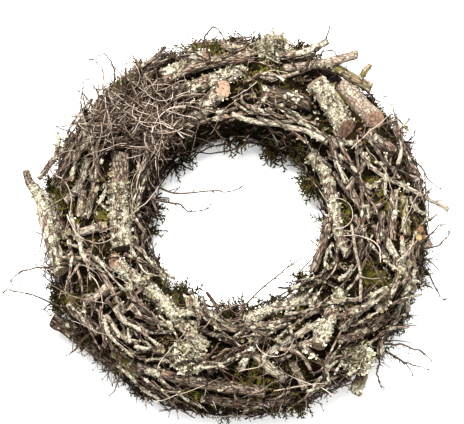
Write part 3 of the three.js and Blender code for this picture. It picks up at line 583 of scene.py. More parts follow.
def wall_quads(base, sides, turned=False):
    """Faces between rows of points that each close round. Base is the number of each lower row's first
    point, and the row above follows it."""
    base, here, beside = base[..., None], np.arange(sides), (np.arange(sides) + 1) % sides
    corners = [base + here, base + beside, base + sides + beside, base + sides + here]
    return np.stack([corners[k] for k in (0, 3, 2, 1)] if turned else corners, axis=-1)


def tubes(paths, radii, sides, tint, paint=0):
    """Round tubes with closed ends: at every station and angle a, point = path + radius · (cos a · up + sin
    a · across)."""
    count, stations, _ = paths.shape
    along = unit(np.gradient(paths, axis=1))
    steep = np.abs(unit(paths[:, -1] - paths[:, 0])[:, None, 2:3]) > 0.8
    across = unit(np.cross(along, np.where(steep, np.array([1.0, 0, 0]), np.array([0.0, 0, 1]))))
    up = np.cross(across, along)
    angle = math.tau * np.arange(sides) / sides
    cos, sin = np.cos(angle), np.sin(angle)
    ring = up[:, :, None] * cos[:, None] + across[:, :, None] * sin[:, None]
    points = paths[:, :, None] + radii[:, :, None, None] * ring
    legs = np.linalg.norm(np.diff(paths, axis=1), axis=2)
    run = np.pad(legs.cumsum(axis=1), ((0, 0), (1, 0))) + TUBE_SHIFT * np.arange(count)[:, None]
    wide = radii[:, :, None]
    grain = np.stack(np.broadcast_arrays(run[:, :, None], wide * cos, wide * sin), axis=-1)
    reach = np.broadcast_to(np.linspace(0, 1, stations)[None, :, None], (count, stations, sides))
    first, here = np.arange(count)[:, None] * stations * sides, np.arange(sides)
    quads = wall_quads(first + np.arange(stations - 1) * sides, sides).reshape(-1, 4)
    caps = np.vstack([first + here[::-1], first + (stations - 1) * sides + here])
    tints = np.broadcast_to(np.asarray(tint, float).reshape(-1, 1), (count, stations * sides))
    return shell(points.reshape(-1, 3), [(quads, paint), (caps, paint)], grain.reshape(-1, 3), tints.ravel(),
                 reach.reshape(-1))


def copies(templates, origins, frames, sizes, tint, paint=0):
    """Copies of small closed shapes, taken in turn: point = origin + frame · (size · template point)."""
    made = []
    sizes = np.asarray(sizes, float).reshape(len(origins), -1)
    tint = np.broadcast_to(np.asarray(tint, float), (len(origins),))
    for k, (shape, faces, reach) in enumerate(templates):
        own = slice(k, None, len(templates))
        start, turned, size = origins[own], frames[own], sizes[own]
        count, per = len(start), len(shape)
        scaled = shape[None] * size[:, None, :]
        points = start[:, None] + np.einsum("nij,npj->npi", turned, scaled)
        corners = (faces[None] + (np.arange(count) * per)[:, None, None]).reshape(-1, faces.shape[1])
        grain = scaled + COPY_SHIFT * (np.arange(count) % 97)[:, None, None]
        made.append(shell(points.reshape(-1, 3), [(corners, paint)], grain.reshape(-1, 3),
                          np.repeat(tint[own], per), np.tile(reach, count), smooth=False))
    return made


def fan_shape(rim, above, below):
    """A thin closed flake: a rim of points, with a middle point above and another below."""
    rim = np.array(rim, float)
    count = len(rim)
    ring, after = np.arange(count), (np.arange(count) + 1) % count
    top = np.column_stack([ring, after, np.full(count, count)])
    bottom = np.column_stack([after, ring, np.full(count, count + 1)])
    points = np.vstack([rim, above, below])
    return points, np.vstack([top, bottom]), np.clip(points[:, 0], 0, 1)


def lobe_shape(ruffle, notch):
    """A lichen lobe: a notched, ruffled leaf."""
    lift = ruffle * np.array([0, 0.08, -0.1, 0.14, -0.06, 0.1, -0.04])
    rim = [(0, 0, 0), (0.3, -0.3, 0.1), (0.7, -0.44, 0.1), (1.02, -0.12, 0.24), (1 - notch, 0.12, 0.08),
           (0.75, 0.46, 0.2), (0.3, 0.3, 0.06)]
    rim = np.array(rim) + np.column_stack([np.zeros(7), np.zeros(7), lift])
    return fan_shape(rim, [0.55, 0, 0.1], [0.52, 0, -0.02])


def sprig_shape(pairs, width, bend, seed):
    """A feathery shoot along x: a three-sided arched axis, with a closed spike to each side at every
    step."""
    draw = np.random.default_rng(seed)
    x = np.linspace(0, 1, 3)
    axis = np.column_stack([x, 0.06 * np.sin(5 * x + seed), bend * x**2])
    angle = math.tau * np.arange(3) / 3
    ring = np.column_stack([np.zeros(3), np.cos(angle), np.sin(angle)])
    stem = (axis[:, None] + (0.045 * (1 - 0.7 * x))[:, None, None] * ring).reshape(-1, 3)
    here, there = np.arange(3), (np.arange(3) + 1) % 3
    faces = [np.array([[0, 2, 1]]), np.array([[6, 7, 8]])]
    for k in (0, 3):
        faces += [np.column_stack([k + here, k + there, k + 3 + there]),
                  np.column_stack([k + here, k + 3 + there, k + 3 + here])]
    steps = np.linspace(0.1, 0.95, pairs)
    side = np.where(np.arange(pairs) % 2, 1.0, -1.0)
    length = width * (1 - 0.55 * steps) * draw.uniform(0.7, 1.25, pairs)
    root = np.column_stack([steps, np.interp(steps, x, axis[:, 1]), bend * steps**2])
    tip = root + np.column_stack([0.6 * length, side * length, draw.uniform(-0.2, 0.5, pairs) * length])
    base = np.stack([root + [0.06, 0, 0], root - [0.06, 0, 0], root + [0, 0, 0.06]], axis=1)
    spikes = np.concatenate([base, tip[:, None]], axis=1)
    spike = np.array([[0, 1, 2], [0, 3, 1], [1, 3, 2], [2, 3, 0]])
    corners = spike[None] + (9 + 4 * np.arange(pairs))[:, None, None]
    corners[side > 0] = corners[side > 0][:, :, ::-1]
    points = np.vstack([stem, spikes.reshape(-1, 3)])
    reach = np.concatenate([np.repeat(x, 3), np.tile([0.4, 0.4, 0.4, 1.0], pairs)])
    return points, np.vstack([*faces, corners.reshape(-1, 3)]), reach


def bud_shape():
    """A pointed bud: a four-sided spindle, fattest at a third of its length."""
    angle = math.tau * np.arange(4) / 4
    base, waist = (np.column_stack([np.full(4, x), wide * np.cos(angle), wide * np.sin(angle)])
                   for x, wide in ((0, 0.16), (0.4, 0.3)))
    points = np.vstack([base, waist, [[1, 0, 0.05]], [[-0.05, 0, 0]]])
    here, there = np.arange(4), (np.arange(4) + 1) % 4
    faces = np.vstack([
        np.column_stack([here, there, there + 4]), np.column_stack([here, there + 4, here + 4]),
        np.column_stack([here + 4, there + 4, np.full(4, 8)]), np.column_stack([there, here, np.full(4, 9)]),
    ])
    return points, faces, np.clip(points[:, 0], 0, 1)


LOBES = [lobe_shape(0.6, 0.1), lobe_shape(1.6, 0.3), lobe_shape(-1.0, 0.2)]
SPRIGS = [sprig_shape(8, 0.42, 0.16, 1), sprig_shape(7, 0.34, -0.12, 2), sprig_shape(8, 0.5, 0.28, 3)]
CHIPS = [fan_shape([(0, 0.2, 0), (0.2, -0.4, -0.06), (0.7, -0.5, -0.1), (1, -0.1, 0), (0.8, 0.42, -0.08),
                    (0.35, 0.5, -0.1)], [0.5, 0, 0.16], [0.5, 0, 0.02])]
BUDS = [bud_shape()]


def joined(runs, kind):
    """Several arrays as one flat one of a kind."""
    return np.concatenate([np.ravel(run) for run in runs]).astype(kind)


def make_piece(name, shells, materials, nodes=()):
    """Puts shells into one mesh with its attributes and materials, rides it on the body and stands it for
    its nodes."""
    shells = [s for s in shells if len(s["points"])]
    starts = np.cumsum([0] + [len(s["points"]) for s in shells])
    faces = [(corners + start, paint, s["smooth"])
             for s, start in zip(shells, starts) for corners, paint in s["faces"]]
    points = np.concatenate([s["points"] for s in shells]) - MIDDLE
    points[:, 2] = np.maximum(points[:, 2], LOWEST)
    sizes = joined([np.full(len(c), c.shape[1]) for c, _, _ in faces], np.int32)
    mesh = bpy.data.meshes.new(name)
    mesh.vertices.add(len(points))
    mesh.vertices.foreach_set("co", (points * MM).astype(np.float32).ravel())
    mesh.loops.add(int(sizes.sum()))
    mesh.loops.foreach_set("vertex_index", joined([c for c, _, _ in faces], np.int32))
    mesh.polygons.add(len(sizes))
    mesh.polygons.foreach_set("loop_start", (np.cumsum(sizes) - sizes).astype(np.int32))
    mesh.polygons.foreach_set("material_index", joined([np.full(len(c), p) for c, p, _ in faces], np.int32))
    mesh.polygons.foreach_set("use_smooth", joined([np.full(len(c), s) for c, _, s in faces], bool))
    for key in ("tint", "reach", "crust"):
        made = mesh.attributes.new(key, "FLOAT", "POINT")
        made.data.foreach_set("value", joined([s[key] for s in shells], np.float32))
    made = mesh.attributes.new("grain", "FLOAT_VECTOR", "POINT")
    made.data.foreach_set("vector", joined([s["grain"] * MM for s in shells], np.float32))
    mesh.update(calc_edges=True)
    for material in materials:
        mesh.materials.append(material)
    piece = bpy.data.objects.new(name, mesh)
    bpy.context.scene.collection.objects.link(piece)
    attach(piece, "root")
    if nodes:
        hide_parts(*nodes)


# Materials.


def srgb(red, green, blue):
    """A screen colour from 0 to 255 as the shader's own numbers, toned down for the bright studio."""
    parts = [c / 255 for c in (red, green, blue)]
    return (*[TONED * (c / 12.92 if c <= 0.04045 else ((c + 0.055) / 1.055) ** 2.4) for c in parts], 1.0)


def plug(tree, socket, value):
    """Links a socket to another node's output, or sets it: a colour is given as it looks on a screen."""
    if isinstance(value, bpy.types.NodeSocket):
        tree.links.new(value, socket)
    else:
        socket.default_value = srgb(*value) if socket.type == "RGBA" else value


def add_node(tree, kind, inputs=None, **settings):
    """A node with its settings, and its inputs set or linked by name or number."""
    made = tree.nodes.new(kind)
    for key, value in settings.items():
        setattr(made, key, value)
    for key, value in (inputs or {}).items():
        plug(tree, made.inputs[key], value)
    return made


def maths(tree, operation, a, b=0.0):
    """One sum on values."""
    return add_node(tree, "ShaderNodeMath", {0: a, 1: b}, operation=operation).outputs[0]


def vector_maths(tree, operation, a, b=(0.0, 0.0, 0.0)):
    """One sum on vectors, with both its outputs."""
    return add_node(tree, "ShaderNodeVectorMath", {0: a, 1: b}, operation=operation).outputs


def plus(tree, a, b):
    """Two values added."""
    return maths(tree, "ADD", a, b)


def times(tree, a, b):
    """Two values multiplied."""
    return maths(tree, "MULTIPLY", a, b)


def mix_colour(tree, factor, a, b):
    """Colour a where the factor is 0, and colour b where it is 1."""
    made = add_node(tree, "ShaderNodeMix", data_type="RGBA")
    sockets = {s.identifier: s for s in made.inputs}
    for key, value in (("Factor_Float", factor), ("A_Color", a), ("B_Color", b)):
        plug(tree, sockets[key], value)
    return next(s for s in made.outputs if s.identifier == "Result_Color")


def noise(tree, vector, scale, detail=3.0, roughness=0.6):
    """Noise from 0 to 1, with this many waves to the metre."""
    inputs = {"Vector": vector, "Scale": scale, "Detail": detail, "Roughness": roughness}
    return add_node(tree, "ShaderNodeTexNoise", inputs).outputs["Fac"]


def ramp(tree, value, low, high):
    """0 below low, 1 above high, and straight between them."""
    inputs = {"Value": value, "From Min": low, "From Max": high}
    return add_node(tree, "ShaderNodeMapRange", inputs, clamp=True).outputs[0]


def blend(tree, value, low, high, a, b):
    """Colour a where the value is low, and colour b where it is high."""
    return mix_colour(tree, ramp(tree, value, low, high), a, b)


def centred(tree, value, strength):
    """Noise about its middle, scaled."""
    return times(tree, maths(tree, "SUBTRACT", value, 0.5), strength)


def new_group(name, inputs, outputs):
    """An empty node group with named sockets."""
    tree = bpy.data.node_groups.new(name, "ShaderNodeTree")
    kinds = {"float": "NodeSocketFloat", "vector": "NodeSocketVector"}
    for way, sockets in (("INPUT", inputs), ("OUTPUT", outputs)):
        for label, kind in sockets.items():
            tree.interface.new_socket(name=label, in_out=way, socket_type=kinds[kind])
    return tree, tree.nodes.new("NodeGroupInput").outputs, tree.nodes.new("NodeGroupOutput").inputs


def bark_grain_group():
    """Long furrows and flakes on the limb's own straightened space: stretched noise, and cells whose edges
    are cracks."""
    tree, given, out = new_group("bark_grain", {"Grain": "vector", "Stretch": "float"},
                                 {"Tone": "float", "Cracks": "float"})
    squash = add_node(tree, "ShaderNodeCombineXYZ", {0: given["Stretch"], 1: 1.0, 2: 1.0}).outputs[0]
    long = vector_maths(tree, "MULTIPLY", given["Grain"], squash)["Vector"]
    coarse = times(tree, noise(tree, long, 420.0, 4.0, 0.65), 0.65)
    fine = times(tree, noise(tree, long, 900.0, 3.0, 0.7), 0.35)
    inputs = {"Vector": long, "Scale": 380.0}
    cell = add_node(tree, "ShaderNodeTexVoronoi", inputs, feature="DISTANCE_TO_EDGE")
    plug(tree, out["Tone"], ramp(tree, plus(tree, coarse, fine), 0.4, 0.6))
    plug(tree, out["Cracks"], ramp(tree, cell.outputs["Distance"], 0.0, 0.14))
    return tree


def crust_group():
    """Crusty lichen: the mesh's own mask of it, frayed by noise and broken by specks, with a granular
    tone."""
    tree, given, out = new_group("lichen_crust", {"Vector": "vector", "Cover": "float"},
                                 {"Mask": "float", "Tone": "float", "Height": "float"})
    fray = noise(tree, given["Vector"], 330.0, 5.0, 0.7)
    specks = noise(tree, given["Vector"], 560.0, 4.0, 0.75)
    mask = ramp(tree, plus(tree, given["Cover"], times(tree, fray, 1.5)), 1.02, 1.22)
    plug(tree, out["Mask"], times(tree, mask, ramp(tree, specks, 0.38, 0.47)))
    plug(tree, out["Tone"], ramp(tree, fray, 0.36, 0.64))
    plug(tree, out["Height"], times(tree, mask, specks))
    return tree


def film_group():
    """A thin growth of green in soft patches of the object's own space."""
    tree, given, out = new_group("green_film", {"Vector": "vector", "Amount": "float"}, {"Mask": "float"})
    patch = noise(tree, given["Vector"], 62.0, 4.0, 0.65)
    plug(tree, out["Mask"], ramp(tree, plus(tree, patch, times(tree, given["Amount"], 0.4)), 0.74, 0.86))
    return tree


BARK_GRAIN = bark_grain_group()
LICHEN_CRUST = crust_group()
GREEN_FILM = film_group()


def start_material(name):
    """A material with one shader on its output, with a weak gloss."""
    material = bpy.data.materials.new(name)
    material.use_nodes = True
    tree = material.node_tree
    tree.nodes.clear()
    shader = tree.nodes.new("ShaderNodeBsdfPrincipled")
    out = tree.nodes.new("ShaderNodeOutputMaterial")
    tree.links.new(shader.outputs[0], out.inputs["Surface"])
    shader.inputs["Specular IOR Level"].default_value = 0.25
    return material, tree, shader


def attribute(tree, name, output="Fac"):
    """A value that the mesh carries."""
    return add_node(tree, "ShaderNodeAttribute", attribute_name=name).outputs[output]


def grain_space(tree):
    """The limb's own straightened space, which the mesh carries."""
    return attribute(tree, "grain", "Vector")


def object_space(tree):
    """The object's own coordinates."""
    return tree.nodes.new("ShaderNodeTexCoord").outputs["Object"]


def use_group(tree, group, inputs):
    """The outputs of a node group with these inputs."""
    return add_node(tree, "ShaderNodeGroup", inputs, node_tree=group).outputs


def finish_material(tree, shader, colour, roughness, height, strength, distance):
    """Colour, roughness and bump into the shader."""
    plug(tree, shader.inputs["Base Color"], colour)
    shader.inputs["Roughness"].default_value = roughness
    bump = add_node(tree, "ShaderNodeBump", {"Height": height, "Strength": strength, "Distance": distance})
    plug(tree, shader.inputs["Normal"], bump.outputs[0])


def bark_material(name, dark, light, crack_and_shade, flush, film, stretch):
    """Bark with furrows and peeled, redder patches, crusty lichen where the mesh says so, and a film of
    green."""
    material, tree, shader = start_material(name)
    grain = use_group(tree, BARK_GRAIN, {"Grain": grain_space(tree), "Stretch": stretch})
    crust = use_group(tree, LICHEN_CRUST, {"Vector": object_space(tree), "Cover": attribute(tree, "crust")})
    green = use_group(tree, GREEN_FILM, {"Vector": object_space(tree), "Amount": film})
    peeled = ramp(tree, noise(tree, grain_space(tree), 95.0, 3.0, 0.6), 0.5, 0.68)
    bark = mix_colour(tree, grain["Tone"], dark, light)
    bark = mix_colour(tree, times(tree, peeled, 0.75), bark, flush)
    # Painted shade, in part: the cracks take a near-black colour, partly the darker bark deep in them and
    # partly the shade that falls into them.
    bark = mix_colour(tree, grain["Cracks"], crack_and_shade, bark)
    bark = mix_colour(tree, times(tree, green["Mask"], 0.8), bark, (104, 100, 48))
    lichen = mix_colour(tree, crust["Tone"], (112, 103, 82), (212, 207, 188))
    colour = mix_colour(tree, crust["Mask"], bark, lichen)
    height = plus(tree, times(tree, grain["Cracks"], 0.5), crust["Height"])
    finish_material(tree, shader, colour, 0.88, height, 0.8, 0.0012)
    return material


def cut_wood_material():
    """A sawn end: rings by distance from the pith, red-brown stain by the piece's tint, and grey where its
    crust value says that it's weathered."""
    material, tree, shader = start_material("cut_wood")
    grain = grain_space(tree)
    flat = vector_maths(tree, "MULTIPLY", grain, (0.0, 1.0, 1.0))["Vector"]
    away = vector_maths(tree, "LENGTH", flat)["Value"]
    rings = times(tree, maths(tree, "SINE", times(tree, away, 6500.0)), 0.14)
    level = plus(tree, rings, noise(tree, grain, 330.0, 5.0, 0.75))
    wood = blend(tree, level, 0.36, 0.62, (122, 98, 82), (187, 160, 139))
    brown = blend(tree, level, 0.4, 0.58, (92, 64, 52), (206, 177, 154))
    grey = blend(tree, level, 0.38, 0.62, (84, 70, 56), (182, 165, 142))
    stained = blend(tree, attribute(tree, "tint"), 0.45, 0.75, wood, brown)
    stained = mix_colour(tree, attribute(tree, "crust"), stained, grey)
    colour = blend(tree, away, 0.0004, 0.0012, (88, 60, 46), stained)
    finish_material(tree, shader, colour, 0.8, level, 0.4, 0.0006)
    return material


def twig_material(name, dark, mid, light):
    """Smooth twig bark: a tone for each twig that drifts along it, and pale flecks across it."""
    material, tree, shader = start_material(name)
    grain = grain_space(tree)
    flecks = noise(tree, grain, 900.0, 3.0, 0.65)
    level = plus(tree, attribute(tree, "tint"), centred(tree, noise(tree, grain, 70.0), 1.1))
    bark = blend(tree, level, 0.5, 1.0, blend(tree, level, 0.0, 0.5, dark, mid), light)
    colour = mix_colour(tree, times(tree, ramp(tree, flecks, 0.56, 0.7), 0.5), bark, (200, 190, 168))
    finish_material(tree, shader, colour, 0.75, flecks, 0.4, 0.0005)
    return material


def leafy_material(name, root, dull, bright, dry):
    """Small leaves and lobes: darker at their roots, a tone for each one, and dry ones among them."""
    material, tree, shader = start_material(name)
    speckle = noise(tree, object_space(tree), 520.0)
    level = plus(tree, attribute(tree, "tint"), centred(tree, speckle, 0.6))
    leaf = blend(tree, level, 0.72, 0.95, blend(tree, level, 0.2, 0.62, dull, bright), dry)
    # Painted shade, in part: each leaf darkens towards its root, partly the browner growth at its base and
    # partly the shade where it sits among the others.
    colour = blend(tree, attribute(tree, "reach"), -0.15, 0.5, root, leaf)
    finish_material(tree, shader, colour, 0.9, speckle, 0.3, 0.0006)
    return material


def humus_and_shade_material():
    """The dark bed under all, mottled and rough: partly rotting moss and litter, partly painted shade."""
    material, tree, shader = start_material("humus_and_shade")
    place = object_space(tree)
    coarse = times(tree, noise(tree, place, 160.0, 5.0, 0.7), 0.6)
    level = plus(tree, coarse, times(tree, noise(tree, place, 900.0, 4.0, 0.7), 0.4))
    # Painted shade, in part: these browns are darker than rotting moss and litter, so that the gaps over the
    # bed read as deep shade.
    brown = blend(tree, level, 0.35, 0.65, (20, 10, 4), (53, 37, 22))
    green = use_group(tree, GREEN_FILM, {"Vector": place, "Amount": 0.7})
    colour = mix_colour(tree, times(tree, green["Mask"], 0.5), brown, (58, 56, 24))
    finish_material(tree, shader, colour, 1.0, level, 1.0, 0.003)
    return material


def wire_material():
    """Thin tying wire, dulled: a dark grey with slight wear along it."""
    material, tree, shader = start_material("tying_wire")
    worn = noise(tree, grain_space(tree), 300.0)
    shader.inputs["Metallic"].default_value = 0.8
    colour = blend(tree, worn, 0.4, 0.6, (58, 62, 54), (104, 104, 96))
    finish_material(tree, shader, colour, 0.45, worn, 0.2, 0.0003)
    return material


# The looks of bark. Material: its name, its dark, light, cracked and peeled colours, how green its film is
# and how stretched its grain. Then how much lichen covers it, how deep its furrows are, and the share of
# sticks that have it.
# The cracked colours are partly the darker bark deep in the cracks and partly painted shade in them.
BARKS = {
    "lichened": ("lichened_bark", (70, 54, 43), (158, 147, 132), (38, 26, 18), (138, 114, 98), 0.3, 0.4),
    "bark": ("brown_bark", (66, 51, 41), (164, 150, 136), (31, 20, 12), (146, 117, 100), 0.2, 0.22),
    "dark": ("dark_bark", (46, 34, 26), (127, 114, 100), (23, 14, 8), (100, 77, 62), 0.15, 0.22),
    "bare": ("bare_wood", (116, 102, 88), (190, 178, 163), (98, 82, 68), (168, 150, 135), 0.1, 0.5),
    "mossy": ("mossy_bark", (92, 80, 61), (168, 157, 131), (46, 37, 27), (140, 115, 90), 0.6, 0.22),
    "pale": ("pale_bark", (134, 121, 105), (201, 195, 180), (74, 60, 47), (178, 154, 134), 0.2, 0.22),
}
COVER = {"lichened": 0.52, "bark": 0.16, "dark": 0.14, "bare": 0.02, "mossy": 0.3, "pale": 0.3}
FURROWS = {"lichened": 0.16, "bark": 0.12, "dark": 0.18, "bare": 0.02, "mossy": 0.1, "pale": 0.09}
STICK_LOOKS = {"lichened": 0.34, "bark": 0.32, "dark": 0.12, "bare": 0.07, "pale": 0.15}
LOOKS = {look: bark_material(*row) for look, row in BARKS.items()}
CUT_WOOD = cut_wood_material()
TWIG = twig_material("twig_bark", (38, 26, 19), (95, 77, 65), (191, 179, 166))
LICHEN = leafy_material("leafy_lichen", (78, 66, 47), (144, 135, 110), (220, 215, 196), (188, 179, 155))
MOSS_LEAF = leafy_material("moss_leaves", (26, 17, 7), (64, 55, 28), (132, 127, 62), (132, 108, 74))
LITTER = leafy_material("leaf_litter", (44, 33, 26), (90, 69, 52), (134, 107, 77), (166, 142, 106))
HUMUS_AND_SHADE = humus_and_shade_material()
WIRE = wire_material()


# Branches.


def crust_cover(straight, look, seed, bare):
    """Where a limb is crusted: patches of noise, more of them the more lichened its look, and none on its
    bare run."""
    patches = (value_noise(straight * [0.7, 1, 1], 3.0, seed + 90)
               + 0.5 * value_noise(straight, 13.0, seed + 91)
               + 0.25 * value_noise(straight, 1.4, seed + 92))
    low = 1.14 - 0.75 * COVER[look]
    along = straight[..., 0] - straight[0, 0, 0]
    return step_up(patches, low, low + 0.22) * step_up(along, bare - 7, bare + 5)


def knots_on(limb, run, around, radius, draw):
    """Low round swellings where side shoots stood."""
    total = 0.0
    for _ in range(max(1, int(limb["length"] / 30))):
        place, turn = draw.uniform(0.1, 0.9) * limb["length"], draw.uniform(0, math.tau)
        off = radius * np.angle(np.exp(1j * (around - turn)))
        total = total + draw.uniform(0.8, 2.0) * np.exp(-((run - place) ** 2 + off**2) / 7.0)
    return total


def swaying_axis(limb, run, seed):
    """A limb's axis, which sways a little off its laid line, with the ways along, across and up at each
    station."""
    axis = axis_points(limb, len(run))
    along = unit(np.gradient(axis, axis=0))
    across = unit(np.cross(along, np.array([0.0, 0, 1])))
    up = np.cross(across, along)
    places = np.column_stack([run, 0 * run, 0 * run])
    sway = np.stack([value_noise(places, 17.0, seed + k) - 0.5 for k in (3, 4)], axis=1)
    return axis + SWAY * limb["radii"][0] * (across * sway[:, :1] + up * sway[:, 1:]), along, across, up


def straightened(run, wide, around, seed):
    """A limb's own straight space, x along it, in which its bark is grained."""
    parts = np.broadcast_arrays(run + LIMB_SHIFT * seed, wide * np.cos(around), wide * np.sin(around))
    return np.stack(parts, axis=-1)


def barked(limb, look, run, around, seed, bare, draw):
    """The radius of a barked limb at every point, and where it is crusted: radius = taper · (1 + furrows +
    swelling) + knots + crust, a little less at the ends."""
    radius = np.linspace(*limb["radii"], len(run))[:, None]
    straight = straightened(run, radius, around, seed)
    crust = crust_cover(straight, look, seed, bare)
    furrow = value_noise(straight * [0.3, 1, 1], 1.8, seed) - 0.5
    swell = value_noise(straight, 10.0, seed + 50) - 0.5
    wide = radius * (0.97 + FURROWS[look] * furrow + 0.12 * swell) + knots_on(limb, run, around, radius, draw)
    wide = wide + 1.1 * crust * value_noise(straight, 1.7, seed + 12)
    return wide * (1 - 0.07 * np.exp(-np.minimum(run, limb["length"] - run) / 0.8)), crust


def slants(limb, run, around, wide, fresh_end, draw):
    """How far the bark's points are pushed along the limb, so that its ends slant: a fresh one faces
    upwards."""
    shift = 0.0
    for end, away in enumerate((run, limb["length"] - run)):
        fresh = fresh_end == end
        slant = draw.uniform(0.75, 0.9) if fresh else draw.uniform(0.1, 0.3)
        leaning = np.cos(around - draw.normal(0, 0.4 if fresh else 1.5))
        shift = shift + (1 - 2 * end) * slant * np.exp(-away / (1.2 * limb["radii"][end])) * wide * leaning
    return shift


def branch_shell(limb, look, seed, sides=BARK_SIDES, step=BARK_STEP, bare=NOT_BARE, fresh=NOT_FRESH):
    """A barked limb with sawn ends: rings of points round its axis, and over each end more rings that
    shrink onto the pith. Also gives the bark's points, its crust and its axis. Bare is the run without
    crust, and fresh the number of the end that isn't weathered, with its tint."""
    draw = np.random.default_rng(seed)
    count, rings = max(8, int(limb["length"] / step)), len(PITH)
    run = np.linspace(0, limb["length"], count)[:, None]
    around = (math.tau * np.arange(sides) / sides)[None]
    axis, along, across, up = swaying_axis(limb, run, seed)
    wide, crust = barked(limb, look, run, around, seed, bare, draw)
    shift = slants(limb, run, around, wide, fresh[0], draw)
    face = np.broadcast_arrays(8 * PITH[:, None], 5 * np.cos(around), 5 * np.sin(around))
    rough = 0.4 * (value_noise(np.stack(face, axis=-1), 1.3, seed + 7) - 0.5)
    rows = np.concatenate([np.zeros(rings, int), np.arange(count), np.full(rings, count - 1)])
    share = np.concatenate([PITH, np.ones(count), PITH[::-1]])[:, None]
    spread = share * wide[rows]
    pushed = share * shift[rows] + np.concatenate([rough, np.zeros((count, sides)), rough[::-1]])
    ring = up[rows, None] * np.cos(around)[..., None] + across[rows, None] * np.sin(around)[..., None]
    points = axis[rows, None] + along[rows, None] * pushed[..., None] + ring * spread[..., None]
    last = len(rows) - 1
    quads, here = wall_quads(np.arange(last) * sides, sides), np.arange(sides)
    ends = np.concatenate([quads[:rings], quads[last - rings:]]).reshape(-1, 4)
    bark = quads[rings:last - rings].reshape(-1, 4)
    pith = np.vstack([here[::-1], last * sides + here])
    first_cover, last_cover = (np.full((rings, sides), float(fresh[0] != end)) for end in (0, 1))
    made = shell(points.reshape(-1, 3), [(bark, 0), (ends, 1), (pith, 1)],
                 straightened(run[rows], spread, around, seed).reshape(-1, 3), tint=fresh[1],
                 crust=np.concatenate([first_cover, crust, last_cover]).ravel())
    return made, points[rings:rings + count], crust, axis


def lichen_on(bark, crust, axis, density, sizes, seed):
    """Lobes that stand on a limb where its crust is; each leans out of the bark at its own tilt."""
    draw = np.random.default_rng(seed)
    weight = crust.ravel() ** 1.5 + 0.003
    count = int(density * weight.sum())
    if count < 3:
        return []
    picked = pick(draw, weight, count)
    origin = bark.reshape(-1, 3)[picked]
    out = unit(origin - np.repeat(axis, crust.shape[1], axis=0)[picked])
    flat = across_to(draw.normal(size=(count, 3)), out)
    tilt = draw.uniform(0.1, 1.2, count)[:, None]
    frames = frames_from(flat * np.cos(tilt) + out * np.sin(tilt), out + 0.4 * draw.normal(size=(count, 3)))
    size, tint = draw.uniform(*sizes, count), draw.uniform(0.1, 0.85, count)
    return copies(LOBES, origin - 0.3 * out, frames, size, tint, 2)


def side_twigs(paths, count, lengths, thick, seed, paint=0):
    """Short twiglets off longer ones: root on a path, direction between along it and out of it, a bud at
    each tip."""
    draw = np.random.default_rng(seed)
    total, stations, _ = paths.shape
    which, station = draw.integers(0, total, count), draw.integers(1, stations - 1, count)
    root = paths[which, station]
    along = unit(paths[which, station + 1] - paths[which, station - 1])
    side = across_to(draw.normal(size=(count, 3)) + [0, 0, 0.3], along)
    lean = draw.uniform(0.5, 1.1, count)[:, None]
    direction = along * np.cos(lean) + side * np.sin(lean)
    length = draw.uniform(*lengths, count)[:, None, None]
    t = np.linspace(0, 1, 4)[None, :, None]
    bend = across_to(draw.normal(size=(count, 3)), direction)[:, None] * 0.12
    path = root[:, None] + length * (t * direction[:, None] + t * t * bend)
    path[..., 2] = np.maximum(path[..., 2], 1.2)
    radii = thick * (1 - 0.55 * t[..., 0]) * np.ones((count, 1))
    tips = unit(path[:, -1] - path[:, -2])
    frames = frames_from(tips, draw.normal(size=(count, 3)))
    buds = copies(BUDS, path[:, -1] - 0.3 * tips, frames, draw.uniform(1.4, 2.6, count), 0.15, paint)
    return [tubes(path, radii, 4, draw.uniform(0, 1, count), paint), *buds]


def make_branches(laid):
    """Every thick branch as its own piece, laid in turn, with its lichen and a few spurs."""
    for index, (name, look, route, radii, lower, forks) in enumerate(BRANCHES):
        limbs = [lay_down(route, radii, "branch", laid, lower)]
        for fork_route, fork_radii in forks:
            root = nearest_ball(limbs[0], fork_route[0])[2]
            limbs.append(lay_down(fork_route, fork_radii, "twig", laid, root=root))
        bare, fresh = BARE_RUNS.get(name, NOT_BARE), FRESH_ENDS.get(name, NOT_FRESH)
        shells = []
        for k, limb in enumerate(limbs):
            laid.extend(limb["balls"])
            made, bark, crust, axis = branch_shell(limb, look, 11 * index + k + 1, bare=bare, fresh=fresh)
            shells += [made, *lichen_on(bark, crust, axis, FLAKES, (1.2, 3.8), index + 300 + k)]
            spurs = int(limb["length"] / 22)
            if spurs:
                shells += side_twigs(axis[None], spurs, (8, 16), 0.9, index + 500 + k, paint=3)
        make_piece(name, shells, [LOOKS[look], CUT_WOOD, LICHEN, TWIG], [name])


def stick_look(draw, place):
    """One look by chance; outside the pale patches half of the lichened and pale ones turn out plain
    bark."""
    look = draw.choice(list(STICK_LOOKS), p=list(STICK_LOOKS.values()))
    plain = patchy(place, PALE_PATCHES)[0] < 0.35 and draw.uniform(0, 1) < 0.5
    return "bark" if plain and look in ("lichened", "pale") else look


def stick_route(draw):
    """A bent plan line through a random place of the ring, mostly along it."""
    turn = draw.uniform(0, math.tau)
    heading = turn + math.pi / 2 + draw.normal(0, STICK["stray"])
    far = RING["radius"] + draw.uniform(*STICK["band"])
    length = draw.uniform(*STICK["length"])
    t = np.array([-0.5, -0.17, 0.17, 0.5])
    headings = heading + draw.normal(0, STICK["bend"]) * t + draw.normal(0, STICK["wobble"], 4)
    steps = length * t[:, None] * np.column_stack([np.cos(headings), np.sin(headings)])
    return steps + on_ring(turn, far)


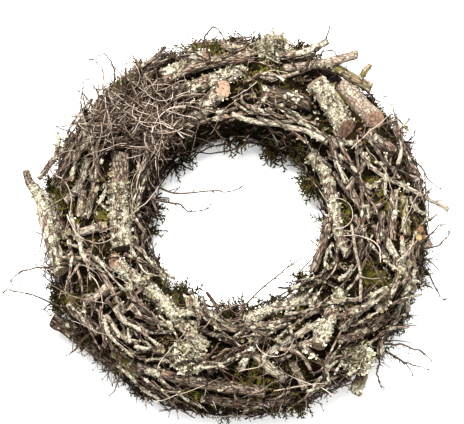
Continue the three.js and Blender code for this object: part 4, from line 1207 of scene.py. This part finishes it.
def stick_fits(draw, places, thick, branches):
    """Whether a stick may lie here: over the ring, hardly over a branch, off what is to stay open, and by
    chance not where the moss or the brush shows."""
    middle = places[5:6]
    off = off_middle(*places.T)
    floors = resting_heights(places, np.full(len(places), thick), SETTLE["stick"][0], branches)
    (left, right), low = BRUSH_SIDE
    by_brush = left < middle[0, 0] < right and middle[0, 1] > low
    if off.max() > STICK["off_by_brush" if by_brush else "off"] or off.mean() > 1.0:
        return False
    if over_wood(floors, places, thick, SETTLE["stick"][0]) > STICK["on_wood"]:
        return False
    if patchy(places, OPEN_PATCHES).max() > 0.4:
        return False
    return draw.uniform(0, 1) >= max(patchy(middle, GREEN_PATCHES)[0], 1.2 * patchy(middle, [BRUSH])[0])


def make_sticks(laid, branches):
    """Middling sticks that fill the room between the branches, one piece for each look. Each is laid in
    turn where it fits, then barked and crusted as the branches are."""
    draw = np.random.default_rng(30)
    shells = {look: [] for look in STICK_LOOKS}
    placed = 0
    for seed in range(1000, 1000 + STICK_TRIES * STICKS):
        route = stick_route(draw)
        thick = draw.uniform(*STICK["thick" if placed < THICK_STICKS else "thin"])
        radii = (thick, thick * draw.uniform(0.6, 0.95))
        places = route_points(route, np.linspace(0, 1, 12))
        look = stick_look(draw, places[5:6])
        if not stick_fits(draw, places, thick, branches):
            continue
        limb = lay_down(route, radii, "stick", laid)
        if limb["heights"].max() > MOSS["top"] + STICK["rise"]:
            continue
        laid.extend(limb["balls"])
        fresh = (draw.choice([0, 1, 2], p=[0.1, 0.1, 0.8]), draw.uniform(0.1, 1))
        made, bark, crust, axis = branch_shell(limb, look, seed, STICK_SIDES, STICK_STEP, fresh=fresh)
        shells[look] += [made, *lichen_on(bark, crust, axis, FLAKES, (0.9, 2.4), seed)]
        shells[look] += side_twigs(axis[None], draw.integers(1, 4), (4, 13), 0.3 * thick, seed + 7)
        placed += 1
        if placed == STICKS:
            break
    for look, own in shells.items():
        make_piece(f"sticks_{look}", own, [LOOKS[look], CUT_WOOD, LICHEN])


# Tufts, sprays and loose twigs.


def make_tufts(laid):
    """Each tuft as a cushion of lobes: roots on a dome, each lobe leaning outwards and up from it."""
    for index, (name, place, spread, height) in enumerate(TUFTS):
        draw = np.random.default_rng(700 + index)
        ground = float(moss_top(*place))
        count = LOBES_IN_TUFT
        far = np.sqrt(draw.uniform(0, 1, count)) * 0.95
        turn = draw.uniform(0, math.tau, count)
        lift = np.sqrt(1 - far**2 * 0.9)
        flat = far[:, None] * np.column_stack([np.cos(turn), np.sin(turn)])
        origin = np.column_stack([np.asarray(place) + spread * 0.85 * flat,
                                  ground - 1 + (height - 4) * lift * draw.uniform(0.35, 1, count)])
        direction = np.column_stack([flat, 0.35 + lift]) + 0.55 * draw.normal(size=(count, 3))
        direction[:, 2] = np.abs(direction[:, 2]) * 0.8
        frames = frames_from(direction, draw.normal(size=(count, 3)) + [0, 0, 1])
        size = draw.uniform(3.5, 9.0, count)
        shells = copies(LOBES, origin, frames, size, draw.uniform(0.1, 0.72, count))
        if name in MOSSY_TUFTS:
            tone = draw.uniform(0.1, 0.6, len(size[::2]))
            shells += copies(SPRIGS, origin[::2], frames[::2], 1.9 * size[::2], tone)
        make_piece(name, shells, [LICHEN], [name])
        dome = spread * 0.8
        laid.append((*place, ground + height - dome, dome))


def wavering(path, amount, seed):
    """A path with the small bends that a twig has between its buds; its root stays."""
    t = np.linspace(0, 1, len(path))
    run = np.column_stack([t * 90, 0 * t, 0 * t])
    bends = np.stack([value_noise(run, 9.0, seed + k) - 0.5 for k in range(3)], axis=-1)
    return path + amount * np.minimum(1, 5 * t)[:, None] * (bends - bends[0])


def spray_twig(limb, waver, seed):
    """One twig of a spray, with its side shoots and a few crumbs of lichen."""
    count = max(8, int(limb["length"] / 2.2))
    path = wavering(axis_points(limb, count), waver, seed)[None]
    radii = np.linspace(limb["radii"][0] * 0.85, limb["radii"][1] * 0.5, count)[None]
    draw = np.random.default_rng(seed)
    shells = [tubes(path, radii, 7, draw.uniform(0.0, 0.4))]
    shells += side_twigs(path, max(3, int(limb["length"] / 8)), (3.5, 11), 0.6, seed + 400)
    dots = max(3, int(limb["length"] / 9))
    origin = path[0, (draw.uniform(0, 0.8, dots) ** 1.6 * count).astype(int)]
    frames = frames_from(draw.normal(size=(dots, 3)), draw.normal(size=(dots, 3)))
    size, tint = draw.uniform(1.2, 3.2, dots), draw.uniform(0.1, 0.6, dots)
    return shells + copies(LOBES, origin, frames, size, tint, 1)


def make_sprays(laid):
    """Each spray of fine twigs as one piece: its stem, and its twigs, which start on the stem."""
    for index, (name, stem_route, twigs) in enumerate(SPRAYS):
        stem = lay_down(stem_route, (2, 2), "stem", laid)
        limbs = [stem]
        for route, radii in twigs:
            root = nearest_ball(stem, route[0])
            limbs.append(lay_down([tuple(root[:2]), *route[1:]], radii, "twig", laid, root=root[2]))
        shells = []
        for k, limb in enumerate(limbs):
            laid.extend(limb["balls"])
            shells += spray_twig(limb, 2.2 if k else 0.4, 900 + 17 * index + k)
        make_piece(name, shells, [TWIG, LICHEN], [name])


def laid_twigs(laid, count, lengths, around, spread, band, seed, crossing, thick, lift):
    """Loose twigs draped over all that is laid. Plan: a bent line, mostly along the ring, about a middle
    turn, and kept where few enough of its stations cross other wood."""
    count = int(count * SHARE)
    draw = np.random.default_rng(seed)
    stations, middle = TWIG_STATIONS, TWIG_STATIONS // 2
    t = np.linspace(-0.5, 0.5, stations)
    turn = around + draw.uniform(-spread, spread, count)
    far = RING["radius"] + draw.uniform(*band, count)
    length = draw.uniform(*lengths, count)
    heading = turn + math.pi / 2 + draw.normal(0, 0.85, count)
    bend = draw.normal(0, 0.6, count)
    wander = 0.16 * draw.normal(size=(count, stations)).cumsum(axis=1)
    headings = heading[:, None] + bend[:, None] * t * 2 + wander
    steps = (length / (stations - 1))[:, None, None] * np.stack([np.cos(headings), np.sin(headings)], axis=-1)
    plan = steps.cumsum(axis=1)
    plan = plan - plan[:, middle:middle + 1] + on_ring(turn, far)[:, None]
    flat = plan.reshape(-1, 2)
    radii = draw.uniform(*thick, (count, 1)) * (1 - 0.45 * np.linspace(0, 1, stations))
    floors = resting_heights(flat, radii.ravel(), 1.0, laid).reshape(count, stations)
    away = np.hypot(plan[..., 0] - RING["x"], plan[..., 1] - RING["y"])
    inside = (away.min(axis=1) > TWIG_REACH[0]) & (away.max(axis=1) < TWIG_REACH[1])
    shown = patchy(flat, OPEN_PATCHES).reshape(count, stations).mean(axis=1)
    kept = inside & (over_wood(floors, plan, radii, 1.0) <= crossing) & (shown < 0.12)
    plan, radii, floors, length = plan[kept], radii[kept], floors[kept], length[kept]
    heights = draped_heights(floors, falls_along(plan, 0.6 * length / (stations - 1)))
    heights = heights + draw.uniform(0, lift, (len(plan), 1))
    return np.concatenate([plan, heights[..., None]], axis=-1), radii


def wall_twigs(count, lengths, angles, seed):
    """Twigs that hug the ring: a drifting line over its turn and section angle, whose ends stand out a
    little."""
    count = int(count * SHARE)
    draw = np.random.default_rng(seed)
    t = np.linspace(-0.5, 0.5, TWIG_STATIONS)
    turn = draw.uniform(0, math.tau, count)
    angle = draw.uniform(*angles, count)[:, None]
    length = draw.uniform(*lengths, count)
    cross = draw.normal(0, 0.45, count)
    reach = RING["radius"] + MOSS["half_width"] * np.cos(angle[:, 0])
    turns = turn[:, None] + (length * np.cos(cross) / reach)[:, None] * t
    angle = angle + (length * np.sin(cross) / 46)[:, None] * t + draw.normal(0, 0.25, (count, 1)) * t * t
    lifted = draw.uniform(0, 14, (count, 1)) * np.abs(t) ** 3 * 4
    wander = 1.4 * (draw.normal(size=(count, TWIG_STATIONS)).cumsum(axis=1) * 0.35)
    rise = draw.uniform(-1.0, 4.0, (count, 1)) + lifted + wander
    paths = seat(turns, np.clip(angle, -LOWEST_ANGLE, math.pi + LOWEST_ANGLE), np.clip(rise, -3, 9))
    paths[..., 2] = np.maximum(paths[..., 2], WALL_LOWEST)
    thick = draw.uniform(0.4, 1.1, count)
    return paths, thick[:, None] * (1 - 0.4 * np.linspace(0, 1, TWIG_STATIONS))


def rim_twigs(count, seed):
    """Twigs that stand out of the ring's two rims: from a place on its side, between along the ring and
    away from it."""
    count = int(count * SHARE)
    draw = np.random.default_rng(seed)
    inner = draw.uniform(0, 1, count) > 0.85
    turn = draw.uniform(0, math.tau, count)
    angle = np.where(inner, math.pi - draw.uniform(-0.15, 0.9, count), draw.uniform(-0.2, 0.8, count))
    flat = unit(outward(turn, angle) * [1, 1, 0.25])
    lean = draw.uniform(0.15, 1.0, count)[:, None]
    side = round_ring(turn) * draw.choice([-1.0, 1.0], (count, 1))
    direction = unit(side * np.cos(lean) + flat * np.sin(lean) + 0.15 * draw.normal(size=(count, 3)))
    length = draw.uniform(8, np.where(inner, 15, 36))[:, None, None]
    t = np.linspace(0, 1, 9)[None, :, None]
    bend = across_to(draw.normal(size=(count, 3)), direction)[:, None] * draw.uniform(0.1, 0.4, (count, 1, 1))
    path = seat(turn, angle, -3.0)[:, None] + length * (t * direction[:, None] + t * t * bend)
    path[..., 2] = np.maximum(path[..., 2], WALL_LOWEST)
    path = path[np.abs(path[..., 1] - MIDDLE[1]).max(axis=1) < RIM_REACH]
    return path, draw.uniform(0.35, 0.75, (len(path), 1)) * (1 - 0.5 * t[0, :, 0])


def make_loose_twigs(laid):
    """The hundreds of loose birch twigs, as one piece for each fifth of the ring: the brush at the upper
    left, a few over the rest of the top, those along the sides, and those that stand out of the rims. Each
    group's last value darkens its tints: the more of it, the darker the group. That darkness is partly the
    brush's own darker bark and partly painted shade on the groups along the sides and rims."""
    # Painted shade, in part: the groups along the sides and rims get the highest powers, so their twigs are
    # darker than those on top; the brush's are its own darker bark.
    groups = [(*laid_twigs(laid, **BRUSH_TWIGS), 1.5), (*laid_twigs(laid, **TOP_TWIGS), 0.7),
              (*wall_twigs(count=230, lengths=(25, 80), angles=(-0.2, 0.8), seed=21), 1.5),
              (*wall_twigs(count=130, lengths=(20, 65), angles=(2.3, 3.4), seed=22), 2.0),
              (*rim_twigs(count=300, seed=23), 2.0)]
    middles = np.concatenate([paths[:, paths.shape[1] // 2] for paths, _, _ in groups])
    turns = np.arctan2(middles[:, 1] - RING["y"], middles[:, 0] - RING["x"]) % (math.tau)
    fifths = np.floor(turns / MAT_TURN)
    starts = np.cumsum([0] + [len(paths) for paths, _, _ in groups])
    for k in range(MOSS["mats"]):
        draw = np.random.default_rng(40 + k)
        shells = []
        for (paths, radii, tone_and_shade), start in zip(groups, starts):
            own = fifths[start:start + len(paths)] == k
            if own.sum():
                shells.append(tubes(paths[own], radii[own], 5, draw.uniform(0, 1, own.sum()) ** tone_and_shade))
                shells += side_twigs(paths[own], int(1.2 * own.sum()), (4, 12), 0.42, 50 + k)
        make_piece(f"loose_twigs_{k + 1}", shells, [TWIG])


# Moss, litter and loose lichen.


def mat_bed(number):
    """The bed of one moss mat: the ring's surface eased in by cushions of noise, closed by the core's own
    surface."""
    seam = 0.5 / RING["radius"]
    turns = np.linspace(MAT_TURN * number + seam, MAT_TURN * (number + 1) - seam, BED[0])
    angles = np.linspace(-LOWEST_ANGLE, math.pi + LOWEST_ANGLE, BED[1])
    turn, angle = np.meshgrid(turns, angles, indexing="ij")
    nominal = seat(turn, angle)
    rise = -7 + 5 * value_noise(nominal, 13.0, 5) + 2.5 * value_noise(nominal, 4.5, 6)
    inside = np.clip(angle, 0, math.pi)
    foot = np.minimum(np.minimum(angle, math.pi - angle), 0) / LOWEST_ANGLE
    height = CORE["side"] + (CORE["top"] + BED_GAP - CORE["side"]) * np.sin(inside) + 5.5 * foot
    inner = on_ring(turn, RING["radius"] + (CORE["half_width"] + BED_GAP) * np.cos(inside), height)
    points = np.concatenate([seat(turn, angle, rise), inner[:, ::-1]], axis=1)
    rows, columns = points.shape[:2]
    quads = wall_quads(np.arange(rows - 1) * columns, columns, turned=True).reshape(-1, 4)
    half = np.arange(BED[1] - 1)
    strip = np.column_stack([half, half + 1, columns - 2 - half, columns - 1 - half])
    caps = np.vstack([strip, strip[:, ::-1] + (rows - 1) * columns])
    flat = points.reshape(-1, 3)
    return shell(flat, [(quads, 0), (caps, 0)], flat)


def moss_on(number, count, seed, laid):
    """Feathery shoots on one mat: thick where the moss lies open, where it is greenest and along the rims,
    where they hang out in clumps, the longest of them round the hole; each lies at its own slant."""
    draw = np.random.default_rng(seed)
    tries = 5 * count
    turn = draw.uniform(0, MAT_TURN, tries) + MAT_TURN * number
    angle = draw.uniform(-LOWEST_ANGLE, math.pi + LOWEST_ANGLE, tries)
    place = seat(turn, angle, -3.0)
    green = patchy(place, GREEN_PATCHES)
    rim = np.exp(-(np.minimum(angle, math.pi - angle) / 0.5) ** 2)
    area = (1 + MOSS["half_width"] / RING["radius"] * np.cos(angle)) ** 2
    buried = resting_heights(place[:, :2], np.full(tries, 0.5), 0.0, laid) - moss_top(*place[:, :2].T)
    weight = (0.3 + 1.2 * green + 0.8 * rim) * area / (1 + (np.clip(buried, 0, 30) / 6) ** 2)
    picked = pick(draw, weight * (0.25 + value_noise(place, 16.0, 31)), count)
    turn, angle, place, green, rim = (values[picked] for values in (turn, angle, place, green, rim))
    out = outward(turn, angle)
    clump = step_up(value_noise(place, 17.0, 77), 0.5, 0.75)
    place = place + (4 * green * (1 - rim))[:, None] * out
    slant = across_to(draw.normal(size=(count, 3)), out)
    direction = slant + out * (draw.uniform(0.25, 1.1, count) + rim * clump)[:, None]
    frames = frames_from(direction, out + 0.5 * draw.normal(size=(count, 3)))
    longer = 0.15 * np.cos(angle) + clump * (1 + 0.8 * (angle > math.pi / 2))
    size = draw.uniform(5.0, 9.5, count) * (1 + rim * longer)
    dry = 0.7 * (draw.uniform(0, 1, count) > 0.6) * (1 - green) * (1 - rim)
    # Painted shade: on the ring's sides the shoots' tone is cut by up to 65 per cent, so they are darker
    # there than on top.
    tone = (draw.uniform(0, 0.45, count) + 0.42 * green + dry) * (1 - 0.65 * rim)
    return copies(SPRIGS, place, frames, size, np.clip(tone, 0, 1), 1)


def make_mats(laid):
    """The five moss mats, each as one piece: its bed and its shoots."""
    for number in range(MOSS["mats"]):
        name = f"moss_mat_{number + 1}"
        shells = [mat_bed(number), *moss_on(number, SPRIGS_ON_MAT, 60 + number, laid)]
        make_piece(name, shells, [HUMUS_AND_SHADE, MOSS_LEAF], [name])


def over_all(count, patches, spread, laid, seed):
    """Places on top of everything laid, with the way out there: spread thinly over the ring, and thicker in
    the given patches."""
    draw = np.random.default_rng(seed)
    tries = max(6 * count, 6000)
    turn = draw.uniform(0, math.tau, tries)
    off = draw.uniform(-49, 49, tries)
    plan = on_ring(turn, RING["radius"] + off)
    picked = pick(draw, spread + patchy(plan, patches), count)
    plan, turn, off = plan[picked], turn[picked], off[picked]
    heights = resting_heights(plan, np.full(count, 0.4), 0.0, laid)
    angle = np.arccos(np.clip(off / MOSS["half_width"], -1, 1))
    return np.column_stack([plan, heights]), outward(turn, angle)


def make_loose_lichen(laid):
    """Scraps of lichen lying on moss and twigs: four lobes of unequal size spread round each one's
    middle."""
    draw = np.random.default_rng(81)
    count = int(850 * SHARE)
    origin, out = over_all(count, PALE_PATCHES, 0.025, laid, 82)
    axis = unit(out + 0.45 * draw.normal(size=(count, 3)))
    first = across_to(draw.normal(size=(count, 3)), axis)
    second = np.cross(axis, first)
    spin = draw.uniform(-0.7, 0.7, (count, 4)) + np.arange(4) * math.pi / 2
    tilt = draw.uniform(-0.1, 0.6, (count, 4))
    flat = first[:, None] * np.cos(spin)[..., None] + second[:, None] * np.sin(spin)[..., None]
    direction = flat * np.cos(tilt)[..., None] + axis[:, None] * np.sin(tilt)[..., None]
    frames = frames_from(direction, np.broadcast_to(axis[:, None], direction.shape))
    size = (0.9 + 2.9 * draw.uniform(0, 1, (count, 1)) ** 2) * draw.uniform(0.5, 1.5, (count, 4))
    tint = draw.uniform(0.0, 0.45, (count, 1)) + draw.uniform(-0.15, 0.15, (count, 4))
    shells = copies(LOBES, np.repeat(origin, 4, axis=0), frames.reshape(-1, 3, 3), size.ravel(), tint.ravel())
    make_piece("loose_lichen", shells, [LICHEN])


def make_litter(laid):
    """Splinters of bark and dry scraps of leaf, caught on top of the moss, and the chips of one curled leaf
    that lies on top of everything."""
    for name, count, lengths, widths, material, slot, seed, patches, spread, below in (
        ("bark_splinters", 1100, (3, 9), (1.2, 2.8), LOOKS["bark"], "bark_brown", 91, GREEN_PATCHES, 2.0, ()),
        ("dry_scraps", 900, (2, 6), (1.2, 3.4), LITTER, "brushwood", 92, DRY_PATCHES, 0.06, ()),
        ("dry_leaf", 16, (6, 11), (4, 7), LITTER, "brushwood", 94, DRY_LEAF, 0.0, laid),
    ):
        draw = np.random.default_rng(seed)
        count = int(count * SHARE)
        origin, out = over_all(count, patches, spread, below, seed + 1)
        direction = across_to(draw.normal(size=(count, 3)), out) + draw.uniform(-0.1, 0.5, (count, 1)) * out
        frames = frames_from(direction, out + 0.5 * draw.normal(size=(count, 3)))
        long, wide = draw.uniform(*lengths, count), draw.uniform(*widths, count)
        size = np.column_stack([long, wide, wide])
        make_piece(name, copies(CHIPS, origin, frames, size, draw.uniform(0.2, 1, count)), [material])


# The core and its binding.


def core_seat(turn, angle, shrink):
    """A place on the core's own section, eased inwards: round over the shoulders, drawn in to a flat foot
    below."""
    under, side = angle > math.pi, CORE["side"]
    half = np.where(under, CORE["foot"] + 15 * np.abs(np.cos(angle)), CORE["half_width"]) - shrink
    above = side + (CORE["top"] - side - shrink) * np.sin(angle)
    height = np.where(under, side * (1 + np.sin(angle)) ** 0.7, above)
    return on_ring(turn, RING["radius"] + half * np.cos(angle), height)


def make_core():
    """The brushwood ring: a dark round body, with long twigs wound round its open underside, each slowly
    drifting from one side of its section towards the other."""
    rows, sides = CORE_GRID
    turns, angles = np.meshgrid(np.linspace(0, math.tau, rows, endpoint=False),
                                np.linspace(0, math.tau, sides, endpoint=False), indexing="ij")
    body = core_seat(turns, angles, 1.6)
    body[..., 2] = np.maximum(body[..., 2], 1.2)
    quads = wall_quads(np.arange(rows) * sides, sides, turned=True).reshape(-1, 4) % (rows * sides)
    flat = body.reshape(-1, 3)
    draw = np.random.default_rng(120)
    count = int(90 * SHARE)
    t = np.linspace(0, 1, 44)
    turn = draw.uniform(0, math.tau, (count, 1)) + draw.uniform(1.6, 3.4, (count, 1)) * t
    first = np.linspace(0.95 * math.pi, 2.05 * math.pi, count)[:, None]
    angle = first + draw.uniform(-0.7, 0.7, (count, 1)) * t
    radii = draw.uniform(0.8, 1.9, (count, 1)) * (1 - 0.5 * t)
    paths = core_seat(turn, np.mod(angle, math.tau), radii * 0.6)
    paths[..., 2] = np.maximum(paths[..., 2], radii + LOWEST)
    shells = [shell(flat, [(quads, 0)], flat), tubes(paths, radii, 5, draw.uniform(0, 0.6, count), 1)]
    make_piece("brushwood_core", shells, [HUMUS_AND_SHADE, TWIG], ["brushwood_core"])


def make_binding():
    """One thin wire wound round the whole ring, pulled into the moss: the section angle turns as it goes
    round."""
    t = np.linspace(0, 1, BINDING["points"])
    turn, angle = math.tau * t, math.tau * BINDING["turns"] * t
    s = np.sin(angle)
    over = seat(turn, np.mod(angle, math.tau), -BINDING["sunk"])
    far = RING["radius"] + BINDING["half_width"] * np.cos(angle) * (1 - 0.55 * np.clip(-s, 0, 1) ** 1.5)
    height = np.where(s > 0, over[:, 2], MOSS["side"] - BINDING["drop"] * np.clip(-s * 1.25, 0, 1))
    radii = np.full((1, BINDING["points"]), BINDING["radius"])
    make_piece("tying_wire", [tubes(on_ring(turn, far, height)[None], radii, 6, 0.5)], [WIRE])


# The studio.


def make_floor():
    """A pale light table that glows a little, so that shadows stay faint."""
    mesh = bpy.data.meshes.new("floor")
    mesh.from_pydata([(-3, -3, 0), (3, -3, 0), (3, 3, 0), (-3, 3, 0)], [], [(0, 1, 2, 3)])
    floor = bpy.data.objects.new("floor", mesh)
    bpy.context.scene.collection.objects.link(floor)
    material, tree, shader = start_material("pale_floor")
    colour = blend(tree, noise(tree, object_space(tree), 40.0), 0.2, 0.8, (240, 240, 238), (244, 244, 243))
    plug(tree, shader.inputs["Base Color"], colour)
    shader.inputs["Roughness"].default_value = 0.9
    shader.inputs["Emission Color"].default_value = (1, 1, 1, 1)
    shader.inputs["Emission Strength"].default_value = FLOOR_GLOW
    mesh.materials.append(material)


def aimed(name, data, place, target):
    """A light or camera at a place, turned to look at a target."""
    made = bpy.data.objects.new(name, data)
    made.location = place
    made.rotation_euler = (target - Vector(place)).to_track_quat("-Z", "Y").to_euler()
    bpy.context.scene.collection.objects.link(made)
    return made


def make_lights():
    """White light from all round, a large soft lamp overhead and towards the wreath's top, and a weaker one
    from the side."""
    world = bpy.data.worlds.new("studio")
    bpy.context.scene.world = world
    world.use_nodes = True
    background = world.node_tree.nodes["Background"]
    background.inputs["Color"].default_value = (1, 1, 1, 1)
    background.inputs["Strength"].default_value = SKY
    for name, (place, size, power) in LAMPS.items():
        lamp = bpy.data.lights.new(name, "AREA")
        lamp.size, lamp.energy = size, power
        aimed(name, lamp, place, LIT)


def make_camera():
    """The photograph's view: almost straight down, with the whole wreath in the frame."""
    slope = math.radians(CAMERA_SLOPE)
    camera = bpy.data.cameras.new("camera")
    camera.lens, camera.sensor_width = LENS, SENSOR
    place = AIM + CAMERA_DISTANCE * Vector((0, -math.cos(slope), math.sin(slope)))
    bpy.context.scene.camera = aimed("camera", camera, place, AIM)


laid = []
make_camera()
make_branches(laid)
make_tufts(laid)
branches = list(laid)
make_sprays(laid)
make_sticks(laid, branches)
make_core()
make_mats(laid)
make_loose_twigs(laid)
make_loose_lichen(laid)
make_litter(laid)
make_binding()
make_floor()
make_lights()
bpy.context.scene.view_settings.view_transform = "Standard"
bpy.context.scene.view_settings.look = "High Contrast"
